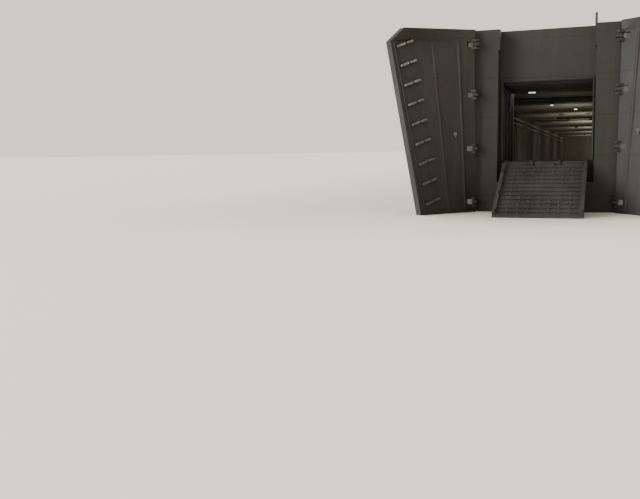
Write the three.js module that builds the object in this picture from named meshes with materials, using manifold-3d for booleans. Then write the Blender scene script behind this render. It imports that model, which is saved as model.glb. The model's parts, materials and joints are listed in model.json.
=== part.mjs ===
// Tank landing ship with its bow doors open and its ramp lowered, as a 1:10 scale model.
// Every size below is in metres of the ship; the last group scales them to model millimetres.
// +X points to the bow, +Y to port and +Z up. The origin is on the flat bottom at midships.

import * as THREE from 'three';
import { mergeVertices } from 'three/addons/utils/BufferGeometryUtils.js';
import Module from 'manifold-3d';

const wasm = await Module();
wasm.setup();

// Scale and fits
const modelScale = 1000 / 10;
const gap = 0.003;
const boreSlack = 0.006;

// Levels above the flat bottom
const tankDeckTop = 3.6;
const tankDeckPlate = 0.12;
const mainDeckTop = 7.67;
const mainDeckPlate = 0.17;
const tunnelTop = mainDeckTop - mainDeckPlate;

// Places along the ship
const bowFace = 46.75;
const bowPlate = 0.15;
const rampFace = bowFace - 0.8;
const recessFloor = 2.4;
const sternEnd = -49.97;
const aftBulkhead = -38;
const funnelStart = 36;
const funnelEnd = 41;
const forecastleStart = 33;

// Tank deck and bow opening
const tunnelHalf = 4.57;
const openingHalf = 2.25;
const doorwayHalf = 2.1;
const openingTop = 7.42;

// Hull sections
// Columns: x, half-breadth at deck, half-breadth at bilge, bottom height, deck height, bilge radius
const stationTable = [
  [sternEnd, 5.0, 4.2, 3.75, mainDeckTop, 0.5],
  [-48.6, 6.4, 5.6, 3.3, mainDeckTop, 0.6],
  [-45.5, 7.4, 6.9, 2.45, mainDeckTop, 0.8],
  [-41, 7.62, 7.4, 1.25, mainDeckTop, 0.9],
  [-36, 7.62, 7.62, 0, mainDeckTop, 0.9],
  [27, 7.62, 7.6, 0, mainDeckTop, 0.9],
  [forecastleStart, 7.5, 7.1, 0, mainDeckTop, 0.9],
  [38, 6.95, 6.2, 0.1, 8.0, 0.8],
  [42, 5.85, 5.05, 0.22, 8.45, 0.6],
  [44.8, 4.65, 4.05, 0.3, 8.75, 0.5],
  [bowFace, 3.45, 3.3, 0.35, 8.9, 0.4],
];
const stations = stationTable.map(([x, deck, side, bottom, top, bilge]) => (
  { x, deck, side, bottom, top, bilge }
));

// Bow doors
const doorAxisX = bowFace + 0.32;
const doorAxisY = 3.3;
const doorThick = 0.28;
const doorRoot = [0.24, 0.12];
const doorSplit = 0.035;
const doorOpenDeg = 120;
// Columns: height, how far the stem lies ahead of the hinge, how far the outside bulges
const doorLevels = [
  [0.8, 0.75, 0.04],
  [3.6, 1.43, 0.12],
  [6.6, 2.17, 0.2],
  [9.37, 2.85, 0.26],
  [9.9, 1.9, 0.2],
];
const doorPinRadius = 0.08;
const doorHingeHeights = [1.6, 4.2, 6.8, 9.2];
const doorLugThick = 0.14;
const rungCount = 9;
const rungLowest = 1.56;
const rungStep = 0.945;
const rungRise = 0.26;

// Bow ramp
const rampAxisX = rampFace + 0.42;
const rampAxisZ = 3.42;
const rampLength = 4.6;
const rampToe = 0.4;
const rampRoot = 0.36;
const rampHalf = 1.97;
const rampThick = 0.3;
const rampSlopeDeg = 32;
const rampPinRadius = 0.1;
const rampLugPlaces = [-1.85, -0.65, 0.65, 1.85];
const rampLugThick = 0.16;

// Stern gear
const shaftY = 2.9;
const shaftZ = 1.36;
const shaftRadius = 0.16;
const skegHalf = 0.26;
const skegEnd = -45.6;
const propellerX = -46.25;
const propellerRadius = 1.065;
const hubRadius = 0.24;
const rudderAxisX = -47.75;
const rudderStock = 0.13;
const soleTop = 0.2;

// Davits and boats
const davitX = -18;
const davitFootY = 7.15;
const davitFootZ = 8.0;
const davitHeadY = 5.95;
const davitHeadZ = 11.75;
const davitSpan = 5.9;
const davitPin = 0.09;
const boatHalfLength = 5.5;
const boatBeam = 3.2;
const boatKeel = 8.42;
const boatGunwale = 10.25;
const boatBowRise = 10.65;
const slingX = 3.7;

// Houses
const houseTop = 10.05;
const wheelhouseTop = 12.4;

// Colours of the ship's surfaces
const paint = {
  hull: [0x3a3c35, 0.75, 0.25],
  deck: [0x46483f, 0.85, 0.15],
  inside: [0x4c4e44, 0.8, 0.2],
  house: [0x4a4c43, 0.75, 0.2],
  gear: [0x2c2d2a, 0.6, 0.5],
  bronze: [0x8c6a35, 0.35, 0.9],
  raft: [0x5a5648, 0.9, 0.0],
  boat: [0x44463e, 0.7, 0.2],
};

const ship = new THREE.Group();

// Solids

function solid(geometry) {
  const plain = new THREE.BufferGeometry();
  plain.setAttribute('position', geometry.getAttribute('position'));
  if (geometry.index) {
    plain.setIndex(geometry.index);
  }
  const merged = mergeVertices(plain, 1e-5);
  const vertProperties = new Float32Array(merged.getAttribute('position').array);
  const triVerts = new Uint32Array(merged.index.array);
  return new wasm.Manifold(new wasm.Mesh({ numProp: 3, vertProperties, triVerts }));
}

function geometryOf(body) {
  const mesh = body.getMesh();
  const geometry = new THREE.BufferGeometry();
  geometry.setAttribute('position', new THREE.BufferAttribute(mesh.vertProperties, 3));
  geometry.setIndex(new THREE.BufferAttribute(mesh.triVerts, 1));
  return geometry;
}

function box(x0, x1, y0, y1, z0, z1) {
  const geometry = new THREE.BoxGeometry(x1 - x0, y1 - y0, z1 - z0);
  geometry.translate((x0 + x1) / 2, (y0 + y1) / 2, (z0 + z1) / 2);
  return solid(geometry);
}

function prism(outline, z0, z1) {
  const shape = new THREE.Shape(outline.map(([x, y]) => new THREE.Vector2(x, y)));
  const geometry = new THREE.ExtrudeGeometry(shape, { depth: z1 - z0, bevelEnabled: false });
  geometry.translate(0, 0, z0);
  return solid(geometry);
}

function sidePlate(outline, y0, y1) {
  const shape = new THREE.Shape(outline.map(([x, z]) => new THREE.Vector2(x, z)));
  const geometry = new THREE.ExtrudeGeometry(shape, { depth: y1 - y0, bevelEnabled: false });
  geometry.rotateX(Math.PI / 2);
  geometry.translate(0, y1, 0);
  return solid(geometry);
}

function rod(start, end, radius, sides = 12) {
  const from = new THREE.Vector3(...start);
  const to = new THREE.Vector3(...end);
  const along = to.clone().sub(from);
  const geometry = new THREE.CylinderGeometry(radius, radius, along.length(), sides);
  geometry.applyQuaternion(
    new THREE.Quaternion().setFromUnitVectors(new THREE.Vector3(0, 1, 0), along.clone().normalize()),
  );
  const middle = from.add(to).multiplyScalar(0.5);
  geometry.translate(middle.x, middle.y, middle.z);
  return solid(geometry);
}

function turned(profile, x, y, z, sides = 16) {
  const points = profile.map(([radius, height]) => new THREE.Vector2(radius, height));
  const geometry = new THREE.LatheGeometry(points, sides);
  geometry.rotateX(Math.PI / 2);
  geometry.translate(x, y, z);
  return solid(geometry);
}

function loft(sections) {
  const count = sections[0].length;
  const vertices = sections.flat(2);
  const faces = [];
  for (let i = 0; i < sections.length - 1; i += 1) {
    for (let j = 0; j < count; j += 1) {
      const a = i * count + j;
      const b = i * count + ((j + 1) % count);
      faces.push(a, b, b + count, a, b + count, a + count);
    }
  }
  const last = (sections.length - 1) * count;
  for (let j = 1; j < count - 1; j += 1) {
    faces.push(0, j + 1, j, last, last + j, last + j + 1);
  }
  const geometry = new THREE.BufferGeometry();
  geometry.setAttribute('position', new THREE.Float32BufferAttribute(vertices, 3));
  geometry.setIndex(faces);
  return solid(geometry);
}

function join(parts) {
  return parts.reduce((whole, part) => whole.add(part));
}

function mirrored(body) {
  return body.mirror([0, 1, 0]);
}

function place(name, body, finish, carrier = ship) {
  const [color, roughness, metalness] = paint[finish];
  const material = new THREE.MeshStandardMaterial({ color, roughness, metalness });
  const mesh = new THREE.Mesh(geometryOf(body), material);
  mesh.name = name;
  carrier.add(mesh);
  return mesh;
}

function carrierAt(x, y, z, turn = [0, 0, 0]) {
  const carrier = new THREE.Group();
  carrier.position.set(x, y, z);
  carrier.rotation.set(...turn);
  ship.add(carrier);
  return carrier;
}

const degrees = Math.PI / 180;

// Hull

function hullSection(station, lift, inset) {
  const arcSteps = 3;
  const half = [];
  for (let i = 0; i <= arcSteps; i += 1) {
    const angle = (i / arcSteps) * (Math.PI / 2);
    half.push([
      station.side - inset - station.bilge * (1 - Math.sin(angle)),
      station.bottom + station.bilge * (1 - Math.cos(angle)),
    ]);
  }
  half.push([station.deck - inset, station.top + lift]);
  const port = half.map(([y, z]) => [station.x, y, z]);
  const starboard = half.map(([y, z]) => [station.x, -y, z]).reverse();
  return [...port, ...starboard];
}

function hullForm(lift = 0, inset = 0) {
  return loft(stations.map((station) => hullSection(station, lift, inset)));
}

const wholeHull = hullForm();
const deckCut = hullForm(gap);

function hullSlice(x0, x1, z0, z1) {
  return wholeHull.intersect(box(x0, x1, -9, 9, z0, z1));
}

function bottomAt(x) {
  const i = stations.findIndex((station) => station.x >= x);
  const before = stations[i - 1];
  const after = stations[i];
  const part = (x - before.x) / (after.x - before.x);
  return before.bottom + part * (after.bottom - before.bottom);
}

function tunnelOutline() {
  return [
    [aftBulkhead, -tunnelHalf],
    [funnelStart, -tunnelHalf],
    [funnelEnd, -openingHalf],
    [bowFace + 1, -openingHalf],
    [bowFace + 1, openingHalf],
    [funnelEnd, openingHalf],
    [funnelStart, tunnelHalf],
    [aftBulkhead, tunnelHalf],
  ];
}

function makeHull() {
  const frontOfHull = bowFace - bowPlate - gap;
  const recess = box(rampFace - bowPlate - gap, 60, -openingHalf, openingHalf, recessFloor, 20);
  const tankDeckUnder = tankDeckTop - tankDeckPlate;
  const bottom = hullSlice(-60, frontOfHull, -1, tankDeckUnder - gap).subtract(recess);
  place('hull_bottom', bottom, 'hull');
  const tankDeck = hullSlice(aftBulkhead, frontOfHull, tankDeckUnder, tankDeckTop).subtract(recess);
  place('tank_deck', tankDeck, 'inside');
  const block = hullSlice(forecastleStart, frontOfHull, tunnelTop, 12).subtract(recess);
  place('forecastle', block, 'deck');
  place('stern_block', hullSlice(-60, aftBulkhead - gap, tankDeckUnder, tunnelTop - gap), 'hull');
  const tunnel = prism(tunnelOutline(), tankDeckTop - 1, tunnelTop + 1);
  const low = tankDeckTop + gap;
  const high = tunnelTop - gap;
  const wings = hullSlice(aftBulkhead, funnelStart - gap, low, high).subtract(tunnel);
  const cheeks = hullSlice(funnelStart, frontOfHull, low, high).subtract(tunnel);
  const portHalf = box(-60, 60, 0, 9, -1, 20);
  place('wing_port', wings.intersect(portHalf), 'hull');
  place('wing_starboard', wings.subtract(portHalf), 'hull');
  place('bow_cheek_port', cheeks.intersect(portHalf), 'hull');
  place('bow_cheek_starboard', cheeks.subtract(portHalf), 'hull');
}

// Main deck

const hatch = { x0: 8, x1: 15, half: 2.2, coaming: 0.75, wall: 0.15 };

function ventilator(x, y) {
  const profile = [[0, 0], [0.36, 0], [0.36, 0.85], [0.62, 0.85], [0.62, 1.0], [0.3, 1.25], [0, 1.3]];
  return turned(profile, x, y, mainDeckTop - 0.02, 12);
}

function bitts(x, y, z) {
  const base = box(x - 0.75, x + 0.75, y - 0.25, y + 0.25, z - 0.02, z + 0.12);
  const posts = [-0.42, 0.42].map((dx) => rod([x + dx, y, z + 0.05], [x + dx, y, z + 0.7], 0.17, 10));
  return join([base, ...posts]);
}

function makeMainDeck() {
  const plate = hullSlice(-60, forecastleStart - gap, tunnelTop, mainDeckTop + 1)
    .subtract(box(hatch.x0, hatch.x1, -hatch.half, hatch.half, 7, 8));
  const ventPlaces = [-10, -3, 4, 19, 25.5];
  const bittPlaces = [-45, -30, 0.5, 29];
  const gear = [];
  for (const side of [-1, 1]) {
    ventPlaces.forEach((x) => gear.push(ventilator(x, side * 5.6)));
    bittPlaces.forEach((x) => gear.push(bitts(x, side * 6.6, mainDeckTop)));
  }
  place('main_deck', join([plate, ...gear]), 'deck');
}

function makeHatch() {
  const { x0, x1, half, coaming, wall } = hatch;
  const outer = box(x0 - wall, x1 + wall, -half - wall, half + wall, mainDeckTop + gap, mainDeckTop + coaming);
  const inner = box(x0, x1, -half, half, 7, 9);
  place('hatch_coaming', outer.subtract(inner), 'deck');
  const top = mainDeckTop + coaming + gap;
  const cover = [box(x0 - 0.25, x1 + 0.25, -half - 0.25, half + 0.25, top, top + 0.12)];
  for (let i = 0; i < 6; i += 1) {
    const x = x0 + 0.5 + i * ((x1 - x0 - 1) / 5);
    cover.push(box(x - 0.06, x + 0.06, -half - 0.1, half + 0.1, top + 0.1, top + 0.22));
  }
  place('hatch_cover', join(cover), 'deck');
}

// Forecastle and bow face

const bulwark = { start: 36.5, height: 1.0, wall: 0.1 };
const bulwarkForm = hullForm(bulwark.height);

function makeBulwark() {
  const front = bowFace - bowPlate - gap;
  const reach = box(bulwark.start, front, -9, 9, 7, 12);
  const band = bulwarkForm.subtract(deckCut).intersect(reach);
  const inside = hullForm(bulwark.height + 1, bulwark.wall).intersect(box(0, 60, -9, 9, 0, 14));
  const ring = band.subtract(inside);
  place('bow_bulwark_port', ring.intersect(box(0, 60, 0, 9, 0, 20)), 'hull');
  place('bow_bulwark_starboard', ring.subtract(box(0, 60, 0, 9, 0, 20)), 'hull');
}

function doorLug(height, side) {
  const reach = 0.22;
  const plate = [
    [bowFace - 0.02, side * (doorAxisY - reach)],
    [doorAxisX, side * (doorAxisY - reach)],
    [doorAxisX + reach * 0.7, side * (doorAxisY - reach * 0.7)],
    [doorAxisX + reach * 0.7, side * (doorAxisY + reach * 0.3)],
    [doorAxisX, side * (doorAxisY + reach * 0.6)],
    [bowFace - 0.02, side * (doorAxisY + reach * 0.4)],
  ];
  const z0 = height - doorLugThick / 2;
  const z1 = height + doorLugThick / 2;
  const bore = rod(
    [doorAxisX, side * doorAxisY, z0 - 1],
    [doorAxisX, side * doorAxisY, z1 + 1],
    doorPinRadius + boreSlack,
  );
  return prism(plate, z0, z1).subtract(bore);
}

function rampLug(y) {
  const outline = [
    [rampFace - 0.02, rampAxisZ - 0.45],
    [rampAxisX, rampAxisZ - 0.2],
    [rampAxisX + 0.18, rampAxisZ - 0.08],
    [rampAxisX + 0.18, rampAxisZ + 0.06],
    [rampAxisX, rampAxisZ + 0.17],
    [rampFace - 0.02, rampAxisZ + 0.17],
  ];
  const plate = sidePlate(outline, y - rampLugThick / 2, y + rampLugThick / 2);
  const bore = rod([rampAxisX, y - 1, rampAxisZ], [rampAxisX, y + 1, rampAxisZ], rampPinRadius + boreSlack);
  return plate.subtract(bore);
}

function makeBowFace() {
  const slot = box(40, 60, -openingHalf, openingHalf, recessFloor, 20);
  const face = bulwarkForm
    .intersect(box(bowFace - bowPlate, bowFace + 1, -9, 9, -1, 12))
    .subtract(slot);
  const wide = openingHalf - gap;
  const rampBack = rampFace - bowPlate;
  const top = stations.at(-1).top + bulwark.height;
  const doorway = box(40, 60, -doorwayHalf, doorwayHalf, tankDeckTop, openingTop);
  const wall = box(rampBack, rampFace, -wide, wide, recessFloor + gap, top).subtract(doorway);
  const floor = box(rampBack, bowFace, -wide, wide, recessFloor + gap, recessFloor + 0.15);
  const lip = box(bowFace - bowPlate, bowFace, -wide, wide, recessFloor - 0.1, recessFloor + 0.1);
  const rim = box(rampFace - 0.01, rampFace + 0.05, -doorwayHalf - 0.12, doorwayHalf + 0.12, tankDeckTop - 0.02, openingTop + 0.2)
    .subtract(doorway);
  const wings = [-1, 1].map((side) => {
    const edges = [side * (wide - 0.05), side * (openingHalf + 0.1)].sort((a, b) => a - b);
    return box(rampBack, bowFace, ...edges, 8, top).subtract(deckCut);
  });
  const lugs = [];
  for (const side of [-1, 1]) {
    doorHingeHeights.forEach((height) => lugs.push(doorLug(height, side)));
  }
  rampLugPlaces.forEach((y) => lugs.push(rampLug(y)));
  place('bow_bulkhead', join([face, wall, floor, lip, rim, ...wings, ...lugs]), 'hull');
}

// Bow doors, built closed about their hinge and then swung open

function doorSection([height, stem, bulge]) {
  const start = doorRoot;
  const tip = [stem, doorSplit - doorAxisY];
  const along = [tip[0] - start[0], tip[1] - start[1]];
  const length = Math.hypot(...along);
  const out = [-along[1] / length, along[0] / length];
  const steps = 4;
  const outer = [];
  const inner = [];
  for (let i = 0; i <= steps; i += 1) {
    const part = i / steps;
    const swell = bulge * 4 * part * (1 - part);
    const x = start[0] + along[0] * part + out[0] * swell;
    const y = start[1] + along[1] * part + out[1] * swell;
    const flatX = start[0] + along[0] * part;
    const flatY = start[1] + along[1] * part;
    outer.push([x, y, height]);
    inner.push([flatX - out[0] * doorThick, flatY - out[1] * doorThick, height]);
  }
  const edge = inner[steps];
  edge[0] = tip[0] - doorThick * 1.1;
  edge[1] = tip[1];
  return [...inner, ...outer.reverse()];
}

function doorArms(height) {
  const arms = [];
  const armThick = 0.12;
  for (const step of [-1, 1]) {
    const middle = height + step * (doorLugThick / 2 + 0.055 + armThick / 2);
    const outline = [[-0.15, 0.1], [-0.15, -0.12], [0.05, -0.16], [0.5, -0.3], [0.6, -0.12], [0.1, 0.16]];
    arms.push(prism(outline, middle - armThick / 2, middle + armThick / 2));
  }
  const reach = doorLugThick / 2 + 0.1;
  arms.push(rod([0, 0, height - reach], [0, 0, height + reach], doorPinRadius));
  return join(arms);
}

function doorRung(height) {
  const level = doorLevels.findIndex(([z]) => z >= height);
  const [z0, stem0] = doorLevels[level - 1];
  const [z1, stem1] = doorLevels[level];
  const stem = stem0 + ((height - z0) / (z1 - z0)) * (stem1 - stem0);
  const tip = [stem, doorSplit - doorAxisY];
  const angle = Math.atan2(tip[1] - doorRoot[1], tip[0] - doorRoot[0]);
  const offset = doorThick + 0.01;
  const ends = [[1.2, rungRise], [0.5, 0]].map(([back, lift]) => [
    tip[0] - Math.cos(angle) * back + Math.sin(angle) * offset,
    tip[1] - Math.sin(angle) * back - Math.cos(angle) * offset,
    height + lift,
  ]);
  return rod(...ends, 0.08, 6);
}

function makeDoors() {
  const slab = loft(doorLevels.map(doorSection));
  const rungs = Array.from({ length: rungCount }, (_, i) => doorRung(rungLowest + i * rungStep));
  const notches = doorHingeHeights.map((height) => rod([0, 0, height - 0.13], [0, 0, height + 0.13], 0.42));
  let body = join([slab, ...rungs]);
  notches.forEach((notch) => {
    body = body.subtract(notch);
  });
  body = join([body, ...doorHingeHeights.map(doorArms)]);
  const portCarrier = carrierAt(doorAxisX, doorAxisY, 0, [0, 0, doorOpenDeg * degrees]);
  place('bow_door_port', body, 'hull', portCarrier);
  const starboardCarrier = carrierAt(doorAxisX, -doorAxisY, 0, [0, 0, -doorOpenDeg * degrees]);
  place('bow_door_starboard', mirrored(body), 'hull', starboardCarrier);
}

// Ramp, built level about its hinge and then lowered

function makeRamp() {
  const top = 0.15;
  const parts = [box(rampRoot, rampLength, -rampHalf, rampHalf, top - rampThick, top)];
  for (const side of [-1, 1]) {
    const edge = side * (rampHalf - 0.08);
    parts.push(box(rampRoot, rampLength - 0.1, edge - 0.08, edge + 0.08, top - 0.02, top + 0.14));
  }
  const treads = 12;
  for (let i = 0; i < treads; i += 1) {
    const x = 0.6 + i * ((rampLength - 0.9) / (treads - 1));
    parts.push(box(x - 0.04, x + 0.04, -rampHalf + 0.3, rampHalf - 0.3, top - 0.02, top + 0.05));
  }
  parts.push(rod([0, -rampHalf, 0], [0, rampHalf, 0], rampPinRadius));
  const knuckles = [-1.3, 0, 1.3];
  knuckles.forEach((y) => parts.push(box(-0.08, rampRoot + 0.05, y - 0.45, y + 0.45, -0.09, 0.09)));
  const tip = rampLength + rampToe;
  const toe = [
    [rampLength, top], [tip, top - 0.24], [tip, top - rampThick], [rampLength, top - rampThick],
  ];
  parts.push(sidePlate(toe, -rampHalf, rampHalf));
  const carrier = carrierAt(rampAxisX, 0, rampAxisZ, [0, rampSlopeDeg * degrees, 0]);
  place('bow_ramp', join(parts), 'inside', carrier);
}

// Skegs, propellers and rudders

function makeSkeg(side, name) {
  const y = side * shaftY;
  const outline = [
    [-36.3, 0],
    [-41, bottomAt(-41)],
    [skegEnd, bottomAt(skegEnd)],
    [skegEnd + 0.15, shaftZ + 0.3],
    [skegEnd, shaftZ + 0.24],
    [skegEnd, shaftZ - 0.24],
    [skegEnd + 0.3, soleTop],
    [rudderAxisX - 0.35, soleTop],
    [rudderAxisX - 0.35, 0],
  ];
  const blade = sidePlate(outline, y - skegHalf, y + skegHalf);
  const barrel = rod([skegEnd, y, shaftZ], [skegEnd + 4, y, shaftZ], 0.34);
  const bore = rod([skegEnd - 1, y, shaftZ], [skegEnd + 0.8, y, shaftZ], shaftRadius + boreSlack);
  const pintle = rod([rudderAxisX, y, soleTop - 0.05], [rudderAxisX, y, soleTop + 0.1], 0.07);
  const body = join([blade, barrel]).subtract(bore).subtract(wholeHull.translate([0, 0, -gap]));
  place(name, join([body, pintle]), 'hull');
}

function propellerBlade(turn) {
  const sections = [];
  const steps = 4;
  const root = 0.16;
  for (let i = 0; i <= steps; i += 1) {
    const part = i / steps;
    const radius = root + (propellerRadius - root) * part;
    const half = [0.26, 0.4, 0.5, 0.44, 0.16][i];
    const pitch = Math.atan(0.9 / (2 * Math.PI * Math.max(radius, 0.3)) * 1.6);
    const thick = 0.05 * (1 - 0.6 * part);
    const ring = [];
    for (const [along, off] of [[-1, 0], [0, thick], [1, 0], [0, -thick]]) {
      ring.push([
        along * half * Math.sin(pitch) + off * Math.cos(pitch),
        along * half * Math.cos(pitch) - off * Math.sin(pitch),
        radius,
      ]);
    }
    sections.push(ring);
  }
  return loft(sections).rotate([turn, 0, 0]);
}

function makePropeller(side, name) {
  const hub = [[0, -0.45], [0.1, -0.42], [0.2, -0.28], [hubRadius, -0.05], [hubRadius, 0.25], [0, 0.25]];
  const hubGeometry = new THREE.LatheGeometry(hub.map(([r, h]) => new THREE.Vector2(r, h)), 16);
  hubGeometry.rotateZ(-Math.PI / 2);
  const parts = [solid(hubGeometry), rod([0.2, 0, 0], [0.6 + skegEnd - propellerX, 0, 0], shaftRadius)];
  for (let i = 0; i < 3; i += 1) {
    parts.push(propellerBlade(i * 120));
  }
  place(name, join(parts), 'bronze', carrierAt(propellerX, side * shaftY, shaftZ));
}

function makeRudder(side, name) {
  const low = soleTop + 0.12;
  const high = 2.55;
  const outline = [[0.55, 0], [0.45, 0.13], [-0.1, 0.16], [-1.15, 0.04], [-1.15, -0.04], [-0.1, -0.16], [0.45, -0.13]];
  const hole = rod([0, 0, 0], [0, 0, soleTop + 0.12 + 0.1], 0.07 + boreSlack);
  const stockTop = bottomAt(rudderAxisX + rudderStock) - gap;
  const stock = rod([0, 0, high - 0.1], [0, 0, stockTop], rudderStock);
  const body = join([prism(outline, low, high), stock]).subtract(hole);
  place(name, body, 'hull', carrierAt(rudderAxisX, side * shaftY, 0));
}

// Davits and their boats

function makeDavit(side, name) {
  const lean = [davitHeadY - davitFootY, davitHeadZ - davitFootZ];
  const parts = [];
  for (const end of [-davitSpan, davitSpan]) {
    const x0 = end - 0.14;
    const x1 = end + 0.14;
    const outline = [
      [0.16, -0.12],
      [0.3, 1.6],
      [lean[0] + 0.55, lean[1] - 0.2],
      [lean[0], lean[1] + 0.18],
      [lean[0] - 0.18, lean[1] - 0.1],
      [-0.15, 1.6],
      [-0.16, -0.12],
    ].map(([y, z]) => new THREE.Vector2(side * y, z));
    const geometry = new THREE.ExtrudeGeometry(new THREE.Shape(outline), { depth: x1 - x0, bevelEnabled: false });
    geometry.rotateX(Math.PI / 2);
    geometry.rotateZ(Math.PI / 2);
    geometry.translate(x0, 0, 0);
    const bore = rod([x0 - 1, 0, 0], [x1 + 1, 0, 0], davitPin + boreSlack);
    parts.push(solid(geometry).subtract(bore));
  }
  parts.push(rod([-davitSpan, side * lean[0], lean[1]], [davitSpan, side * lean[0], lean[1]], davitPin));
  place(name, join(parts), 'gear', carrierAt(davitX, side * davitFootY, davitFootZ));
}

function makeDavitStands(side, name) {
  const parts = [];
  for (const end of [-davitSpan, davitSpan]) {
    for (const offset of [-0.3, 0.3]) {
      const x = davitX + end + offset;
      parts.push(box(x - 0.08, x + 0.08, side * davitFootY - 0.25, side * davitFootY + 0.25, mainDeckTop + gap, davitFootZ + 0.2));
    }
    const x = davitX + end;
    parts.push(rod([x - 0.3, side * davitFootY, davitFootZ], [x + 0.3, side * davitFootY, davitFootZ], davitPin));
  }
  const keelBar = box(davitX - davitSpan - 0.4, davitX + davitSpan + 0.4, side * davitFootY - 0.06, side * davitFootY + 0.06, mainDeckTop + gap, mainDeckTop + 0.1);
  parts.push(keelBar);
  for (const chock of [-2.3, 2.3]) {
    const x = davitX + chock;
    const y = side * davitHeadY;
    parts.push(box(x - 0.12, x + 0.12, y - 0.9, y + 0.9, mainDeckTop + gap, boatKeel - gap));
    parts.push(box(x - 0.12, x + 0.12, Math.min(y, side * davitFootY), Math.max(y, side * davitFootY), mainDeckTop + gap, mainDeckTop + 0.1));
  }
  place(name, join(parts), 'gear');
}

function boatSection(x, half, keel, gunwale) {
  const rise = (gunwale - keel) * 0.45;
  return [
    [x, half, gunwale],
    [x, -half, gunwale],
    [x, -half * 0.96, keel + rise],
    [x, -half * 0.62, keel],
    [x, half * 0.62, keel],
    [x, half * 0.96, keel + rise],
  ];
}

function makeBoat(side, name) {
  const keel = boatKeel - davitHeadZ;
  const gunwale = boatGunwale - davitHeadZ;
  const bow = boatBowRise - davitHeadZ;
  const half = boatBeam / 2;
  // Columns: x, half-breadth, keel, gunwale
  const outside = [
    [-boatHalfLength, half * 0.93, keel + 0.3, gunwale],
    [-2.5, half, keel, gunwale],
    [2.5, half, keel, gunwale],
    [4.6, half * 0.88, keel + 0.35, bow - 0.1],
    [boatHalfLength, half * 0.72, keel + 0.95, bow],
  ];
  const wall = 0.12;
  const inside = outside.map(([x, breadth, low, high], i) => [
    i === 0 ? x + 1.9 : x - (i === 4 ? 0.25 : 0),
    breadth - wall,
    low + 0.35,
    high + 0.5,
  ]);
  const shell = loft(outside.map((row) => boatSection(...row)))
    .subtract(loft(inside.map((row) => boatSection(...row))));
  const slings = [];
  for (const x of [-slingX, slingX]) {
    slings.push(box(x - 0.1, x + 0.1, -half + 0.05, half - 0.05, gunwale - 0.2, gunwale - 0.05));
    slings.push(box(x - 0.06, x + 0.06, -0.06, 0.06, gunwale - 0.1, -0.12));
    const eye = rod([x - 0.08, 0, 0], [x + 0.08, 0, 0], 0.2);
    slings.push(eye.subtract(rod([x - 1, 0, 0], [x + 1, 0, 0], davitPin + boreSlack)));
  }
  const carrier = carrierAt(davitX, side * davitHeadY, davitHeadZ);
  place(name, join([shell, ...slings]), 'boat', carrier);
}

// Houses, conning station and mast

function roundedPlan(x0, x1, half, corner) {
  return [
    [x0, -half], [x1 - corner, -half], [x1 - corner * 0.3, -half + corner * 0.3], [x1, -half + corner],
    [x1, half - corner], [x1 - corner * 0.3, half - corner * 0.3], [x1 - corner, half], [x0, half],
  ];
}

function makeHouses() {
  const low = mainDeckTop + gap;
  const walls = prism(roundedPlan(-41.5, -26, 4.4, 0.8), low, houseTop - 0.12);
  const roof = prism(roundedPlan(-42, -25.6, 5.2, 0.8), houseTop - 0.14, houseTop);
  place('deckhouse', join([walls, roof]), 'house');
  const floor = houseTop + gap;
  const room = prism(roundedPlan(-32.5, -26.8, 2.6, 1.1), floor, wheelhouseTop - 0.1);
  const wings = prism(roundedPlan(-33, -26.3, 4.2, 0.7), wheelhouseTop - 0.12, wheelhouseTop);
  place('wheelhouse', join([room, wings]), 'house');
}

function tub(x, y, floor, radius, height, name) {
  const wall = 0.12;
  const profile = [
    [0, 0], [radius, 0], [radius, height], [radius - wall, height], [radius - wall, 0.15], [0, 0.15],
  ];
  place(name, turned(profile, x, y, floor + gap, 20), 'house');
}

function raisedTub(x, y, deck, rise, radius, name) {
  const wall = 0.12;
  const height = 1.1;
  const profile = [
    [0, 0], [radius * 0.55, 0], [radius * 0.55, rise], [radius, rise], [radius, rise + height],
    [radius - wall, rise + height], [radius - wall, rise + 0.15], [0, rise + 0.15],
  ];
  place(name, turned(profile, x, y, deck + gap, 20).subtract(deckCut), 'house');
}

function makeMast() {
  const x = -35;
  const top = 24.5;
  const parts = [rod([x, 0, houseTop + gap], [x, 0, top], 0.17, 10)];
  parts.push(rod([x, -3, 19.5], [x, 3, 19.5], 0.08, 8));
  parts.push(turned([[0, 0], [0.75, 0], [0.75, 0.12], [0, 0.12]], x, 0, 21.4, 12));
  for (const side of [-1, 1]) {
    parts.push(rod([x - 2.2, side * 1.6, houseTop + 0.07], [x, 0, 15.5], 0.09, 8));
  }
  const cut = box(-60, 0, -9, 9, 0, houseTop + gap);
  place('mast', join(parts).subtract(cut), 'gear');
}

// Deck gear

function makeWindlass() {
  const deck = 8.62;
  const x = 43.6;
  const parts = [box(x - 1, x + 1, -1.3, 1.3, deck - 0.6, deck + 0.25)];
  parts.push(rod([x, -1.7, deck + 0.75], [x, 1.7, deck + 0.75], 0.3, 14));
  for (const y of [-1, 0, 1]) {
    parts.push(box(x - 0.45, x + 0.45, y - 0.1, y + 0.1, deck + 0.2, deck + 1.15));
  }
  parts.push(rod([x, -1.7, deck + 0.75], [x, -1.5, deck + 0.75], 0.45, 14));
  parts.push(rod([x, 1.5, deck + 0.75], [x, 1.7, deck + 0.75], 0.45, 14));
  place('windlass', join(parts).subtract(deckCut), 'gear');
}

function makeSternWinch() {
  const z = mainDeckTop + gap;
  const x = -45.6;
  const parts = [box(x - 1.1, x + 1.1, -1.5, 1.5, z, z + 0.2)];
  parts.push(rod([x, -1.3, z + 0.95], [x, 1.3, z + 0.95], 0.55, 16));
  for (const y of [-1.2, 1.2]) {
    parts.push(rod([x, y - 0.08, z + 0.95], [x, y + 0.08, z + 0.95], 0.8, 16));
    parts.push(box(x - 0.3, x + 0.3, y - 0.2, y + 0.2, z + 0.1, z + 1.1));
  }
  place('stern_winch', join(parts), 'gear');
}

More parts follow.
